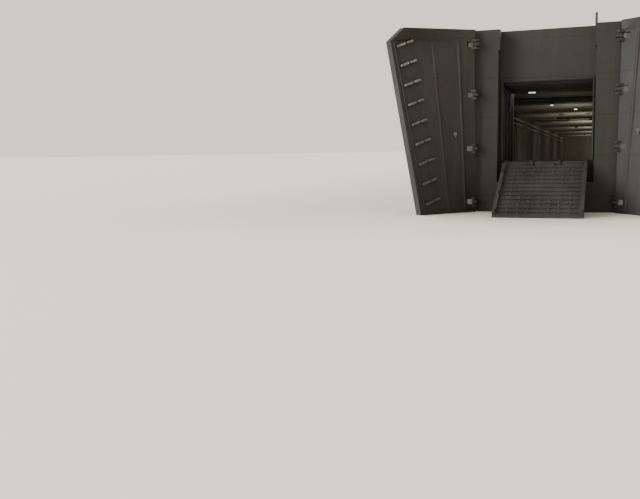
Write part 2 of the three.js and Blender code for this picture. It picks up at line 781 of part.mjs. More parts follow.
function makeSternAnchor() {
  const x = sternEnd - gap;
  const parts = [box(x - 0.3, x, -0.16, 0.16, 4.6, 7.3)];
  parts.push(box(x - 0.34, x - 0.02, -1.5, 1.5, 4.4, 4.75));
  for (const side of [-1, 1]) {
    const fluke = [[side * 0.5, 4.5], [side * 1.45, 4.5], [side * 1.15, 6.0], [side * 0.75, 5.6]];
    const shape = new THREE.Shape(fluke.map(([y, z]) => new THREE.Vector2(y, z)));
    const geometry = new THREE.ExtrudeGeometry(shape, { depth: 0.12, bevelEnabled: false });
    geometry.rotateX(Math.PI / 2);
    geometry.rotateZ(Math.PI / 2);
    geometry.translate(x - 0.26, 0, 0);
    parts.push(solid(geometry));
  }
  place('stern_anchor', join(parts), 'gear');
}

function railPost(x, y, z) {
  return box(x - 0.04, x + 0.04, y - 0.04, y + 0.04, z, z + 1.05);
}

function railRun(x0, x1, y) {
  const z = mainDeckTop + gap;
  const parts = [];
  const spans = Math.round((x1 - x0) / 2.6);
  for (let i = 0; i <= spans; i += 1) {
    parts.push(railPost(x0 + (i / spans) * (x1 - x0), y, z));
  }
  for (const height of [0.5, 1.02]) {
    parts.push(box(x0, x1, y - 0.035, y + 0.035, z + height - 0.035, z + height + 0.035));
  }
  return join(parts);
}

function makeRails() {
  const runs = [['aft', -43.5, -26], ['forward', -10.5, 31.5]];
  for (const [sideName, side] of [['starboard', -1], ['port', 1]]) {
    runs.forEach(([part, x0, x1]) => {
      place(`rail_${part}_${sideName}`, railRun(x0, x1, side * 7.35), 'gear');
    });
  }
}

function makeRafts() {
  for (const [sideName, side] of [['starboard', -1], ['port', 1]]) {
    [-38.5, -34.5].forEach((x, i) => {
      const shape = new THREE.Shape(roundedLoop(1.5, 0.75));
      shape.holes.push(new THREE.Path(roundedLoop(1.15, 0.42)));
      const geometry = new THREE.ExtrudeGeometry(shape, { depth: 0.4, bevelEnabled: false });
      geometry.translate(x, side * 3.9, houseTop + gap);
      place(`life_raft_${sideName}_${i + 1}`, solid(geometry), 'raft');
    });
  }
}

function roundedLoop(halfLength, halfWidth) {
  const points = [];
  const corners = [[1, 1, 0], [-1, 1, 1], [-1, -1, 2], [1, -1, 3]];
  const radius = Math.min(0.5, halfWidth * 0.8);
  corners.forEach(([sx, sy, quarter]) => {
    for (let i = 0; i <= 3; i += 1) {
      const angle = (quarter + i / 3) * (Math.PI / 2);
      points.push(new THREE.Vector2(
        sx * (halfLength - radius) + radius * Math.cos(angle),
        sy * (halfWidth - radius) + radius * Math.sin(angle),
      ));
    }
  });
  return points;
}

makeHull();
makeMainDeck();
makeHatch();
makeBulwark();
makeBowFace();
makeDoors();
makeRamp();
for (const [sideName, side] of [['starboard', -1], ['port', 1]]) {
  makeSkeg(side, `skeg_${sideName}`);
  makePropeller(side, `propeller_${sideName}`);
  makeRudder(side, `rudder_${sideName}`);
  makeDavitStands(side, `davit_stand_${sideName}`);
  makeDavit(side, `davit_${sideName}`);
  makeBoat(side, `boat_${sideName}`);
}
makeHouses();
tub(-29.5, 0, wheelhouseTop, 1.7, 1.25, 'conning_tub');
raisedTub(39.5, 0, 8.0, 1.3, 2.0, 'bow_platform');
raisedTub(30, 5.0, mainDeckTop, 0.9, 1.5, 'forward_platform_port');
raisedTub(30, -5.0, mainDeckTop, 0.9, 1.5, 'forward_platform_starboard');
raisedTub(-45.2, 4.4, mainDeckTop, 1.4, 1.7, 'stern_platform_port');
raisedTub(-45.2, -4.4, mainDeckTop, 1.4, 1.7, 'stern_platform_starboard');
makeMast();
makeWindlass();
makeSternWinch();
makeSternAnchor();
makeRails();
makeRafts();

ship.scale.setScalar(modelScale);

export default ship;
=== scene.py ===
# %% [markdown]
# # A tank landing ship, aground with its bow doors open
# The real ship is a hundred metres of welded steel plate, painted one dull grey-green and worn
# by salt and hard use. Here it is a 1:10 model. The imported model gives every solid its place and
# size, and this lesson adds what makes it look real: paint, rust, frames, rails, lamps and light.

# %% Load the frame
import json
import math

import bmesh
import bpy
from mathutils import Matrix, Vector

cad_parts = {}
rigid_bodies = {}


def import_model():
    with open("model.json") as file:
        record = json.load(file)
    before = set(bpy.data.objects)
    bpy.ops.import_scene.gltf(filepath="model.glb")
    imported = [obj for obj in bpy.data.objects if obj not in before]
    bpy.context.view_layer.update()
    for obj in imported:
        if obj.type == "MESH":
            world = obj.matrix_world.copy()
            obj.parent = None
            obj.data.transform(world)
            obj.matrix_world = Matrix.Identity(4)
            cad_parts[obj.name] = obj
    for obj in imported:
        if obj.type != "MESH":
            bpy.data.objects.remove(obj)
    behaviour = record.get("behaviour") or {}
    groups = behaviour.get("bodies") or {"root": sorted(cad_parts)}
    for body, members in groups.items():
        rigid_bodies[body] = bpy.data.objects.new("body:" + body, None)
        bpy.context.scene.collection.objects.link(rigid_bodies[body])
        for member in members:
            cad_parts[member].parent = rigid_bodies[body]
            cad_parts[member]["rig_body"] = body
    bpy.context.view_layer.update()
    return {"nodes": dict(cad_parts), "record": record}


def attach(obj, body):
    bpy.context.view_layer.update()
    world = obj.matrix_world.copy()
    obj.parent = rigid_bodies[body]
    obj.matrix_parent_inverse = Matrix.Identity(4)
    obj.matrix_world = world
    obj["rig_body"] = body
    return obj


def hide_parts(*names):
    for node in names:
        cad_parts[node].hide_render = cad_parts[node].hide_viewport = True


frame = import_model()

# %% [markdown]
# ## Units and places
# A shipwright thinks in metres of the ship, and Blender holds metres of the model. Every place
# below, and every size of a fitting, is in metres of the ship, measured from the flat bottom
# amidships: +X to the bow, +Y to port, +Z up. Each mesh is shrunk by one factor when it is
# finished. Only the paint's patterns, the floor and the size of each light are in metres of the
# model.

# %% Ship metres to model metres, and new objects
MODEL = 0.1
BOW_FACE = 46.75
RAMP_FACE = BOW_FACE - 0.8
DECK_TOP, TANK_DECK = 7.67, 3.6
TUNNEL_TOP, TUNNEL_HALF = 7.5, 4.57
DOORWAY_TOP, DOORWAY_HALF = 7.42, 2.1
HOUSE_TOP, WHEELHOUSE_TOP = 10.05, 12.4
SIDES = {"starboard": -1, "port": 1}


def ship(*place):
    """Metres of the ship to metres of the model."""
    return Vector([value * MODEL for value in place])


def linked(name, data):
    """A new object of the scene that shows the data."""
    made = bpy.data.objects.new(name, data)
    bpy.context.collection.objects.link(made)
    return made


print("one ship metre is", MODEL, "m here")

# %% [markdown]
# ## The camera
# The view is from ahead of the ship and a little to its port side, about three metres above the
# waterline. The empty ship floats deeper at the stern, so the waterline leans by about a degree
# against the keel, and the camera is set from the waterline.

# %% Camera
BOW_DRAUGHT, STERN_DRAUGHT, DRAUGHT_MARKS_APART = 1.1, 2.9, 96.0
TRIM = math.atan2(STERN_DRAUGHT - BOW_DRAUGHT, DRAUGHT_MARKS_APART)
EYE = (40.0, 3.3, 3.1)
LOOK_OFF_AXIS = math.radians(20.4)
LOOK_DOWN = math.radians(7.0)
ROLL = math.radians(-0.97)
FOCAL_PIXELS = 800.0
IMAGE_WIDTH = 640

waterline = Matrix.Translation(ship(BOW_FACE, 0, BOW_DRAUGHT)) @ Matrix.Rotation(TRIM, 4, "Y")
look = Vector((
    -math.cos(LOOK_OFF_AXIS) * math.cos(LOOK_DOWN),
    -math.sin(LOOK_OFF_AXIS) * math.cos(LOOK_DOWN),
    -math.sin(LOOK_DOWN),
))
aim = look.to_track_quat("-Z", "Y").to_matrix().to_4x4() @ Matrix.Rotation(ROLL, 4, "Z")
camera_data = bpy.data.cameras.new("view_from_ahead")
camera_data.sensor_width = 36.0
camera_data.lens = camera_data.sensor_width * FOCAL_PIXELS / IMAGE_WIDTH
camera_data.clip_end = 500
camera = linked("view_from_ahead", camera_data)
camera.matrix_world = waterline @ Matrix.Translation(ship(*EYE)) @ aim
bpy.context.scene.camera = camera
print("lens", round(camera_data.lens, 1), "mm, trim", round(math.degrees(TRIM), 2), "degrees")

# %% [markdown]
# ## Paint after long service
# Ship paint is never one colour. Rain washes rust and salt down from every edge, patches are
# touched up with a newer mix, and welds stand proud between the plates. One function builds
# that finish from noise, so each surface differs only in its colours and in how hard it is worn.
# Every pattern reads object coordinates, so it stays on the steel when a part swings.

# %% Node helpers


def fill(tree, made, inputs):
    """Gives each named input of a node its value, or links it to another node's output."""
    for key, source in inputs.items():
        if isinstance(source, bpy.types.NodeSocket):
            tree.links.new(source, made.inputs[key])
        else:
            made.inputs[key].default_value = source


def add_node(tree, kind, inputs=None, out=0, **properties):
    """Adds a node, and gives back one of its outputs, or the node itself if out is None."""
    made = tree.nodes.new(kind)
    for name, value in properties.items():
        setattr(made, name, value)
    fill(tree, made, inputs or {})
    return made if out is None else made.outputs[out]


def blank_material(title):
    """A new node material: its tree and its shader."""
    material = bpy.data.materials.new(title)
    material.use_nodes = True
    return material, material.node_tree, material.node_tree.nodes["Principled BSDF"]


def shades(tree, source, *stops):
    """A colour ramp over a value; a stop is its position and a colour or a grey."""
    ramp = add_node(tree, "ShaderNodeValToRGB", {"Fac": source}, out=None)
    marks = ramp.color_ramp.elements
    for _ in stops[2:]:
        marks.new(0.5)
    for mark, (position, colour) in zip(marks, stops):
        mark.position = position
        mark.color = colour if isinstance(colour, tuple) else (colour, colour, colour, 1)
    return ramp.outputs["Color"]


def spot(tree, **change):
    """The place on the object that is being shaded, scaled or turned if asked."""
    place = add_node(tree, "ShaderNodeTexCoord", out="Object")
    return add_node(tree, "ShaderNodeMapping", {"Vector": place, **change})


def cloud(tree, scale, stretch=(1, 1, 1), detail=5.0, rough=0.6):
    """Noise over object coordinates, which may be stretched."""
    spread = spot(tree, Scale=stretch)
    return add_node(tree, "ShaderNodeTexNoise", {
        "Vector": spread, "Scale": scale, "Detail": detail, "Roughness": rough}, out="Fac")


def layered(tree, mask, under, over):
    """One colour over another, through a mask; a colour is a tuple or a socket."""
    return add_node(tree, "ShaderNodeMix", {0: mask, 6: under, 7: over}, out=2, data_type="RGBA")


def relief(tree, height, strength, distance, under=None):
    """Bump from a height, over the bump below it."""
    inputs = {"Height": height, "Strength": strength, "Distance": distance}
    if under:
        inputs["Normal"] = under
    return add_node(tree, "ShaderNodeBump", inputs)


print("node helpers ready")

# %% [markdown]
# ## The ship's paint
# The layers go on in the order of a real hull: base coat in uneven patches, salt wash, rust
# runs, then chips down to primer. Plate seams come from a brick pattern, because a hull is
# plated in staggered rows just as a wall is laid.

# %% Ship paint
SIDE_ON = (math.radians(-90), 0, 0)
FLAT_ON = (0, 0, 0)
OLIVE = (1.03, 1.0, 0.86)
RUST, CHALK = (1.5, 0.95, 0.55), (1, 1, 0.95)


def tone(level, tint=OLIVE):
    """A paint colour of the given lightness."""
    return (level * tint[0], level * tint[1], level * tint[2], 1.0)


def plate_seams(tree, plates, under):
    """Welds between plates of the given length and height, as relief."""
    length, height, turn = plates
    seams = add_node(tree, "ShaderNodeTexBrick", {
        "Vector": spot(tree, Rotation=turn), "Scale": 1.0, "Mortar Size": 0.0018,
        "Mortar Smooth": 0.5, "Brick Width": length, "Row Height": height}, out="Fac")
    return relief(tree, seams, strength=0.5, distance=0.002, under=under)


def risen(tree, vector, low, high, start=0.0):
    """A share that grows from start to one as the vector's Z goes from low to high."""
    level = add_node(tree, "ShaderNodeSeparateXYZ", {"Vector": vector}, out="Z")
    return add_node(tree, "ShaderNodeMapRange", {
        "Value": level, "From Min": low, "From Max": high, "To Min": start})


def upright_shade(tree, colour, ratio):
    """The colour, scaled by a ratio on faces that stand upright or hang."""
    facing = add_node(tree, "ShaderNodeTexCoord", out="Normal")
    return add_node(tree, "ShaderNodeVectorMath", {
        "Vector": colour, "Scale": risen(tree, facing, 0.45, 0.6, ratio)}, operation="SCALE")


def ship_paint(title, level, rust, plates=None, rough=0.62, wear=0.25, run=(26, 26, 1.5),
               upright=None):
    """Worn paint: patches, salt wash, rust runs, chips, dents and plate seams."""
    material, tree, shader = blank_material(title)
    patches = cloud(tree, scale=3.4, detail=7.0, rough=0.62)
    grit = cloud(tree, scale=85.0, detail=4.0, rough=0.7)
    streaks = cloud(tree, scale=1.0, stretch=(13, 13, 0.8), detail=4.0)
    wash = shades(tree, streaks, (0.5, 0.0), (0.82, 0.5))
    runs = cloud(tree, scale=1.0, stretch=run, rough=0.7)
    runs = shades(tree, runs, (0.55, 0.0), (0.75, rust))
    chips = shades(tree, grit, (0.65, 0.0), (0.71, 0.8))
    colour = shades(tree, patches, (0.34, tone(level * (1 - wear))), (0.5, tone(level)),
                    (0.68, tone(level * (1 + wear))))
    colour = layered(tree, wash, colour, tone(level * 1.9, CHALK))
    colour = layered(tree, runs, colour, tone(level * 1.35, RUST))
    colour = layered(tree, chips, colour, tone(level * 0.4))
    if upright:
        colour = upright_shade(tree, colour, upright)
    normal = relief(tree, patches, strength=0.35, distance=0.004)
    normal = relief(tree, grit, strength=0.22, distance=0.0008, under=normal)
    if plates:
        normal = plate_seams(tree, plates, normal)
    fill(tree, shader, {
        "Base Color": colour, "Specular IOR Level": 0.35, "Normal": normal,
        "Roughness": shades(tree, patches, (0.3, rough - 0.14), (0.7, min(rough + 0.16, 0.98)))})
    return material


paints = {
    "hull_paint": dict(level=0.026, rust=0.4, plates=(0.62, 0.19, SIDE_ON)),
    "deck_paint": dict(level=0.075, rust=0.2, plates=(0.6, 0.18, FLAT_ON), rough=0.78,
                       run=(5, 5, 5), upright=0.36),
    "tank_deck_paint": dict(level=0.032, rust=0.3, rough=0.7, wear=0.4, run=(9, 9, 9)),
    "house_paint": dict(level=0.085, rust=0.3, plates=(0.5, 0.24, SIDE_ON)),
    "gear_paint": dict(level=0.028, rust=0.45, rough=0.5),
    "boat_paint": dict(level=0.085, rust=0.12, rough=0.68, run=(6, 60, 60)),
}
finishes = {title: ship_paint(title, **looks) for title, looks in paints.items()}
print("painted finishes:", ", ".join(finishes))

# %% [markdown]
# ## Other finishes
# A few things aren't painted steel: cast bronze dulls to brown, raft canvas shows its weave,
# rope is fibrous, glass is dark and smooth, and worn steel is bright where it is rubbed bare. The
# grab irons are lighter the higher they stand on the door.

# %% Bronze, canvas, rope, glass, worn steel and lamps


def simple_finish(title, low, high, rough, grain, metal=0.0, bump=0.0006, tint=OLIVE):
    """Two tones of a fine grain, with the grain as relief."""
    material, tree, shader = blank_material(title)
    fine = cloud(tree, scale=grain, detail=4.0, rough=0.65)
    fill(tree, shader, {
        "Base Color": shades(tree, fine, (0.36, tone(low, tint)), (0.64, tone(high, tint))),
        "Roughness": shades(tree, fine, (0.3, rough), (0.7, min(1.0, rough + 0.15))),
        "Metallic": metal, "Normal": relief(tree, fine, strength=0.4, distance=bump)})
    return material


def canvas_finish(title, level):
    """Painted canvas: a plain weave under patchy paint."""
    material, tree, shader = blank_material(title)
    weave = add_node(tree, "ShaderNodeTexWave", {
        "Vector": spot(tree), "Scale": 160.0, "Distortion": 1.5}, out="Fac")
    patches = cloud(tree, scale=9.0)
    fill(tree, shader, {
        "Base Color": shades(tree, patches, (0.3, tone(level * 0.7)), (0.7, tone(level * 1.25))),
        "Roughness": 0.93, "Normal": relief(tree, weave, strength=0.5, distance=0.0008)})
    return material


def rubbed_steel(title, low_z, high_z):
    """Steel that is dull at the height low_z and bright at high_z, in model metres."""
    material, tree, shader = blank_material(title)
    bright = shades(tree, risen(tree, spot(tree), low_z, high_z),
                    (0.0, tone(0.05)), (1.0, tone(0.2)))
    spots = shades(tree, cloud(tree, scale=55.0), (0.42, 0.0), (0.6, 0.8))
    fill(tree, shader, {"Base Color": layered(tree, spots, bright, tone(0.06)),
                        "Roughness": shades(tree, spots, (0.0, 0.4), (1.0, 0.7))})
    return material


def lamp_glow(title, strength):
    """A lit lamp lens, a little uneven across the glass."""
    material, tree, shader = blank_material(title)
    glow = shades(tree, cloud(tree, scale=30.0),
                  (0.3, (0.75, 0.72, 0.6, 1)), (0.7, (1.0, 0.97, 0.86, 1)))
    fill(tree, shader, {"Base Color": glow, "Emission Color": glow, "Emission Strength": strength})
    return material


plain = {
    "bronze": dict(low=0.10, high=0.22, rough=0.34, metal=0.9, grain=30.0, tint=(1.35, 1.0, 0.55)),
    "rope": dict(low=0.09, high=0.16, rough=0.9, grain=220.0, bump=0.001, tint=(1.1, 1.0, 0.78)),
    "glass": dict(low=0.012, high=0.02, rough=0.06, grain=4.0, bump=0.0001),
    # Near black. On the door seals this is rubber; on the discs in the scupper and hawse openings
    # it is painted shade.
    "rubber_and_hole_shade": dict(low=0.012, high=0.02, rough=0.7, grain=90.0),
    "bare_steel": dict(low=0.07, high=0.15, rough=0.42, metal=0.6, grain=45.0),
}
finishes.update({title: simple_finish(title, **looks) for title, looks in plain.items()})
finishes["raft_canvas"] = canvas_finish("raft_canvas", level=0.10)
finishes["worn_steel"] = rubbed_steel("worn_steel", low_z=0.15, high_z=0.9)
finishes["lamp"] = lamp_glow("lamp", strength=1.3)
print("all finishes:", len(finishes))

# %% [markdown]
# ## Paint the solids
# The record says which finish each solid takes, so one loop paints them all.

# %% Paint every node
slot_of = {row["node"]: row["material_slot"] for row in frame["record"]["subparts"]}
for name, node in frame["nodes"].items():
    for holder in node.material_slots:
        holder.material = finishes[slot_of[name]]
print("painted", len(frame["nodes"]), "nodes")

# %% [markdown]
# ## Rolled plate
# The solids are made of flat facets, but a shipyard rolls the plates of the bow, the stern, the
# boats and the tubs into curves. Each such solid gets a twin with its facets joined. At every
# corner of a facet the normals of those around it that lie within a limit are averaged by area,
# so flats stay flat, curves shade as one, and sharp edges stay sharp.

# %% Smooth the curved solids
ROLLED = ["hull_bottom", "stern_block", "forecastle", "bow_platform", "conning_tub", "mast",
          "windlass", "stern_winch", "deckhouse", "wheelhouse"]
for side_name in SIDES:
    ROLLED += [f"{name}_{side_name}" for name in (
        "wing", "bow_cheek", "bow_bulwark", "bow_door", "forward_platform", "stern_platform",
        "boat", "propeller")]
    ROLLED += [f"life_raft_{side_name}_{number}" for number in (1, 2)]
SHARP_EDGE = math.radians(34)
# In metres of the model
MERGE_WITHIN = 0.00002


def smooth_by_area(mesh, limit):
    """Gives each corner the area-weighted normal of the nearly level facets round it."""
    facets = mesh.polygons
    facets.foreach_set("use_smooth", [True] * len(facets))
    around = {}
    for facet in facets:
        for corner in facet.vertices:
            around.setdefault(corner, []).append(facet.index)
    least = math.cos(limit)
    normals = []
    for facet in facets:
        for corner in facet.vertices:
            total = Vector()
            for index in around[corner]:
                if facets[index].normal.dot(facet.normal) > least:
                    total += facets[index].normal * facets[index].area
            normals.append(total.normalized() if total.length else facet.normal.copy())
    mesh.normals_split_custom_set(normals)


def roll_plate(name):
    """Puts a smoothly shaded twin in the place of a faceted solid."""
    node = frame["nodes"][name]
    mesh = node.data.copy()
    bm = bmesh.new()
    bm.from_mesh(mesh)
    bmesh.ops.remove_doubles(bm, verts=bm.verts, dist=MERGE_WITHIN)
    bm.to_mesh(mesh)
    bm.free()
    smooth_by_area(mesh, SHARP_EDGE)
    piece = linked(f"{name}_plating", mesh)
    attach(piece, node["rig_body"])
    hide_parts(name)


for name in ROLLED:
    roll_plate(name)
print("rolled:", len(ROLLED))

# %% [markdown]
# ## Two ways to make a fitting
# A ship is dressed with hundreds of small steel fittings. One-off shapes are built here from
# rods and from boxes with bevelled edges. Anything that repeats is grown by a Geometry Nodes tree
# instead, because one tree with named sizes is easier to change than a hundred placed copies.

# %% Mesh fittings
ROD_SIDES, PIPE_SIDES = 8, 6


def add_box(bm, low, high, bevel=0.02, turn=0.0):
    """A box between two corners with bevelled edges, turned about its own upright axis."""
    low, high = Vector(low), Vector(high)
    place = Matrix.Translation((low + high) / 2) @ Matrix.Rotation(turn, 4, "Z")
    size = Matrix.Diagonal((*(high - low), 1))
    made = bmesh.ops.create_cube(bm, size=1.0, matrix=place @ size)["verts"]
    if bevel:
        edges = list(dict.fromkeys(edge for vert in made for edge in vert.link_edges))
        bmesh.ops.bevel(bm, geom=edges, offset=bevel, segments=1, affect="EDGES")


def add_rod(bm, start, end, radius, sides=ROD_SIDES, end_radius=None):
    """A rod or taper between two points."""
    start, end = Vector(start), Vector(end)
    along = end - start
    aim = along.to_track_quat("Z", "Y").to_matrix().to_4x4()
    bmesh.ops.create_cone(
        bm, cap_ends=True, segments=sides, radius1=radius,
        radius2=radius if end_radius is None else end_radius,
        depth=along.length, matrix=Matrix.Translation((start + end) / 2) @ aim)


def add_loft(bm, loops):
    """A closed solid through loops of corners."""
    rings = [[bm.verts.new(corner) for corner in loop] for loop in loops]
    for ring, following in zip(rings[:-1], rings[1:]):
        for i in range(len(ring)):
            j = (i + 1) % len(ring)
            bm.faces.new((ring[i], ring[j], following[j], following[i]))
    bm.faces.new(rings[0])
    bm.faces.new(list(reversed(rings[-1])))


def keep(bm, name, body="hull", slot="gear_paint", finish=None):
    """Makes the finished piece: in model metres, painted, and riding on its body."""
    bm.transform(Matrix.Scale(MODEL, 4))
    bmesh.ops.recalc_face_normals(bm, faces=bm.faces)
    mesh = bpy.data.meshes.new(name)
    bm.to_mesh(mesh)
    bm.free()
    mesh.materials.append(finishes[finish or slot])
    piece = linked(name, mesh)
    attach(piece, body)


def fittings(name, boxes=(), rods=(), pipes=(), bevel=0.02, place=None, **look):
    """One piece from tables of boxes, rods and pipes.

    A box is its two corners, and may add its own bevel and turn. A rod is its two ends and its
    radius, and may add its sides and end radius. A pipe is its points and its radius.
    """
    bm = bmesh.new()
    for low, high, *own in boxes:
        add_box(bm, low, high, *(own or [bevel]))
    for rod in rods:
        add_rod(bm, *rod)
    for points, radius in pipes:
        for start, end in zip(points[:-1], points[1:]):
            add_rod(bm, start, end, radius, PIPE_SIDES)
    if place is not None:
        bm.transform(place)
    keep(bm, name, **look)


def slab(x, y, half_x, half_y, low, high):
    """The corners of a box round a place, between two heights."""
    return (x - half_x, y - half_y, low), (x + half_x, y + half_y, high)


print("mesh fittings ready")

# %% [markdown]
# ## Geometry Nodes trees
# Six small trees serve the whole ship: bars in a row, studs on points, rings on points, posts
# with wires along a line, chain links along a line, and a bar swept along a line. Each has its
# sizes as named inputs and ends by making its copies real and giving them their finish.

# %% Tree helpers


def new_tree(title, shape, **inputs):
    """A tree with the named inputs round a shape, which is a function that builds geometry."""
    tree = bpy.data.node_groups.new(title, "GeometryNodeTree")
    for name, kind in {"Geometry": "Geometry", **inputs, "Finish": "Material"}.items():
        tree.interface.new_socket(name=name, in_out="INPUT", socket_type=f"NodeSocket{kind}")
    tree.interface.new_socket(name="Geometry", in_out="OUTPUT", socket_type="NodeSocketGeometry")
    given = tree.nodes.new("NodeGroupInput").outputs
    real = add_node(tree, "GeometryNodeRealizeInstances", {"Geometry": shape(tree, given)})
    painted = add_node(tree, "GeometryNodeSetMaterial", {
        "Geometry": real, "Material": given["Finish"]})
    fill(tree, tree.nodes.new("NodeGroupOutput"), {0: painted})
    return tree


def grow(tree, name, points=(), path=(), closed=False, body="hull", slot="gear_paint",
         finish=None, smooth=False, **sizes):
    """Runs a tree on points or along a path, in ship metres, and keeps a plain mesh."""
    edges = [(i, i + 1) for i in range(len(path) - 1)]
    if closed:
        edges.append((len(path) - 1, 0))
    base = bpy.data.meshes.new(name)
    base.from_pydata([Vector(point) for point in points or path], edges, [])
    piece = linked(name, base)
    modifier = piece.modifiers.new(tree.name, "NODES")
    modifier.node_group = tree
    values = dict(sizes, Finish=finishes[finish or slot])
    for item in tree.interface.items_tree:
        if item.in_out == "INPUT" and item.name in values:
            modifier[item.identifier] = values[item.name]
    graph = bpy.context.evaluated_depsgraph_get()
    mesh = bpy.data.meshes.new_from_object(piece.evaluated_get(graph), depsgraph=graph)
    mesh.transform(Matrix.Scale(MODEL, 4))
    piece.modifiers.remove(modifier)
    piece.data = mesh
    mesh.name = name
    if smooth:
        mesh.shade_smooth()
    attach(piece, body)


print("tree helpers ready")

# %% Bars in a row, studs and rings on points
SIDE_TURN = (math.radians(90), 0, 0)
END_TURN = (0, math.radians(90), 0)
RIM_SIDES = 6


def turned(tree, turn):
    """Three angles as a rotation."""
    return add_node(tree, "FunctionNodeEulerToRotation", {0: turn})


def copies(tree, points, thing, **rotation):
    """The thing on every point, turned by a Rotation if one is given."""
    return add_node(tree, "GeometryNodeInstanceOnPoints", {
        "Points": points, "Instance": thing, **rotation})


def circle(tree, sides, radius):
    """A circle as a curve."""
    return add_node(tree, "GeometryNodeCurvePrimitiveCircle", {
        "Resolution": sides, "Radius": radius})


def swept(tree, path, radius, sides, caps=False):
    """A round bar along a curve."""
    return add_node(tree, "GeometryNodeCurveToMesh", {
        "Curve": path, "Profile Curve": circle(tree, sides, radius), "Fill Caps": caps})


def cylinder(tree, sides, radius, height):
    """A cylinder round its own Z axis."""
    return add_node(tree, "GeometryNodeMeshCylinder", {
        "Vertices": sides, "Radius": radius, "Depth": height})


def bar_row(tree, given):
    """Boxes at even steps: ladder rungs, frames and slats."""
    row = add_node(tree, "GeometryNodeMeshLine", {
        "Count": given["Count"], "Start Location": given["First"], "Offset": given["Step"]},
        mode="OFFSET")
    return copies(tree, row, add_node(tree, "GeometryNodeMeshCube", {"Size": given["Size"]}))


def stud_on_points(tree, given):
    """Cylinders on points: bolts, lashing cups, glasses, beams and pillars."""
    stud = cylinder(tree, given["Sides"], given["Radius"], given["Height"])
    return copies(tree, given["Geometry"], stud, Rotation=turned(tree, given["Turn"]))


def ring_on_points(tree, given):
    """Round rims on points: porthole frames, lifebuoys, wire turns and bands."""
    ring = swept(tree, circle(tree, given["Sides"], given["Radius"]), given["Rim"], RIM_SIDES)
    return copies(tree, given["Geometry"], ring, Rotation=turned(tree, given["Turn"]))


bars = new_tree("bar_row", bar_row, Count="Int", First="Vector", Step="Vector", Size="Vector")
studs = new_tree("studs", stud_on_points, Radius="Float", Height="Float", Sides="Int",
                 Turn="Vector")
rings = new_tree("rings", ring_on_points, Radius="Float", Rim="Float", Sides="Int", Turn="Vector")
print("trees:", bars.name, studs.name, rings.name)

# %% Rails, chains and swept bars along a line
WIRE_HEIGHTS = (0.32, 0.65, 0.98)
WIRE_SIDES, POST_SIDES = 6, 8
LINK_PITCH, LINK_WIDTH = 0.72, 0.62
LINK_CORNERS, LINK_SIDES = 10, 5


def curve_of(tree, given):
    """The line that the tree is given, as a curve."""
    return add_node(tree, "GeometryNodeMeshToCurve", {"Mesh": given["Geometry"]})


def times(tree, value, factor):
    """A value multiplied by a factor."""
    return add_node(tree, "ShaderNodeMath", {0: value, 1: factor}, operation="MULTIPLY")


def raised(tree, thing, height):
    """A thing moved up by a height."""
    lift = add_node(tree, "ShaderNodeCombineXYZ", {"Z": height})
    return add_node(tree, "GeometryNodeTransform", {"Geometry": thing, "Translation": lift})


def rail_along(tree, given):
    """Posts every so often along a line, with three wires between them."""
    path = curve_of(tree, given)
    steps = add_node(tree, "GeometryNodeResampleCurve", {
        "Curve": path, "Length": given["Spacing"]}, mode="LENGTH")
    post = cylinder(tree, POST_SIDES, given["Post"], given["Height"])
    posts = copies(tree, steps, raised(tree, post, times(tree, given["Height"], 0.5)))
    wire = swept(tree, path, given["Wire"], WIRE_SIDES)
    joined = add_node(tree, "GeometryNodeJoinGeometry", out=None)
    for share in WIRE_HEIGHTS:
        fill(tree, joined, {0: raised(tree, wire, times(tree, given["Height"], share))})
    fill(tree, joined, {0: posts})
    return joined.outputs[0]


def chain_along(tree, given):
    """Oval links along a line, each turned a quarter from the last."""
    steps = add_node(tree, "GeometryNodeCurveToPoints", {
        "Curve": curve_of(tree, given), "Length": times(tree, given["Link"], LINK_PITCH)},
        out=None, mode="LENGTH")
    oval = add_node(tree, "GeometryNodeTransform", {
        "Geometry": circle(tree, LINK_CORNERS, times(tree, given["Link"], 0.5)),
        "Scale": (LINK_WIDTH, 1.0, 1.0), "Rotation": SIDE_TURN})
    odd = add_node(tree, "ShaderNodeMath", {
        0: add_node(tree, "GeometryNodeInputIndex"), 1: 2.0}, operation="MODULO")
    roll = add_node(tree, "ShaderNodeCombineXYZ", {"Z": times(tree, odd, math.pi / 2)})
    lie = add_node(tree, "FunctionNodeRotateRotation", {
        "Rotation": steps.outputs["Rotation"], "Rotate By": turned(tree, roll)},
        rotation_space="LOCAL")
    link = swept(tree, oval, given["Wire"], LINK_SIDES)
    return copies(tree, steps.outputs["Points"], link, Rotation=lie)


def bar_along(tree, given):
    """A round bar swept along a line: rubbing bars, seals, edges and cables."""
    return swept(tree, curve_of(tree, given), given["Radius"], given["Sides"], caps=True)


rail = new_tree("rail", rail_along, Spacing="Float", Height="Float", Post="Float", Wire="Float")
chain = new_tree("chain", chain_along, Link="Float", Wire="Float")
moulding = new_tree("moulding", bar_along, Radius="Float", Sides="Int")
print("trees:", rail.name, chain.name, moulding.name)

# %% [markdown]
# ## Inside the tank deck
# The hall behind the doorway is framed like a barn: a rib every frame space on both walls, a
# beam over each pair except under the hatch, pipes along the walls, lamps under the ceiling and
# rows of lashing cups in the floor. The ribs are a bar row, since they differ only in place.

# %% Frames, pipes, beams and cups
HALL_START, HALL_END = -37.4, 35.6
HATCH_START, HATCH_END = 7.8, 15.2
FRAME_SPACE, FRAME_DEPTH = 1.2, 0.24
BEAM_DROP, BEAM_RADIUS = 0.09, 0.1
FIRST_CUP, CUP_SPACE, CUP_ROWS = HALL_START + 1, 1.5, 48
CUP_LINES = (-3.6, -1.2, 1.2, 3.6)
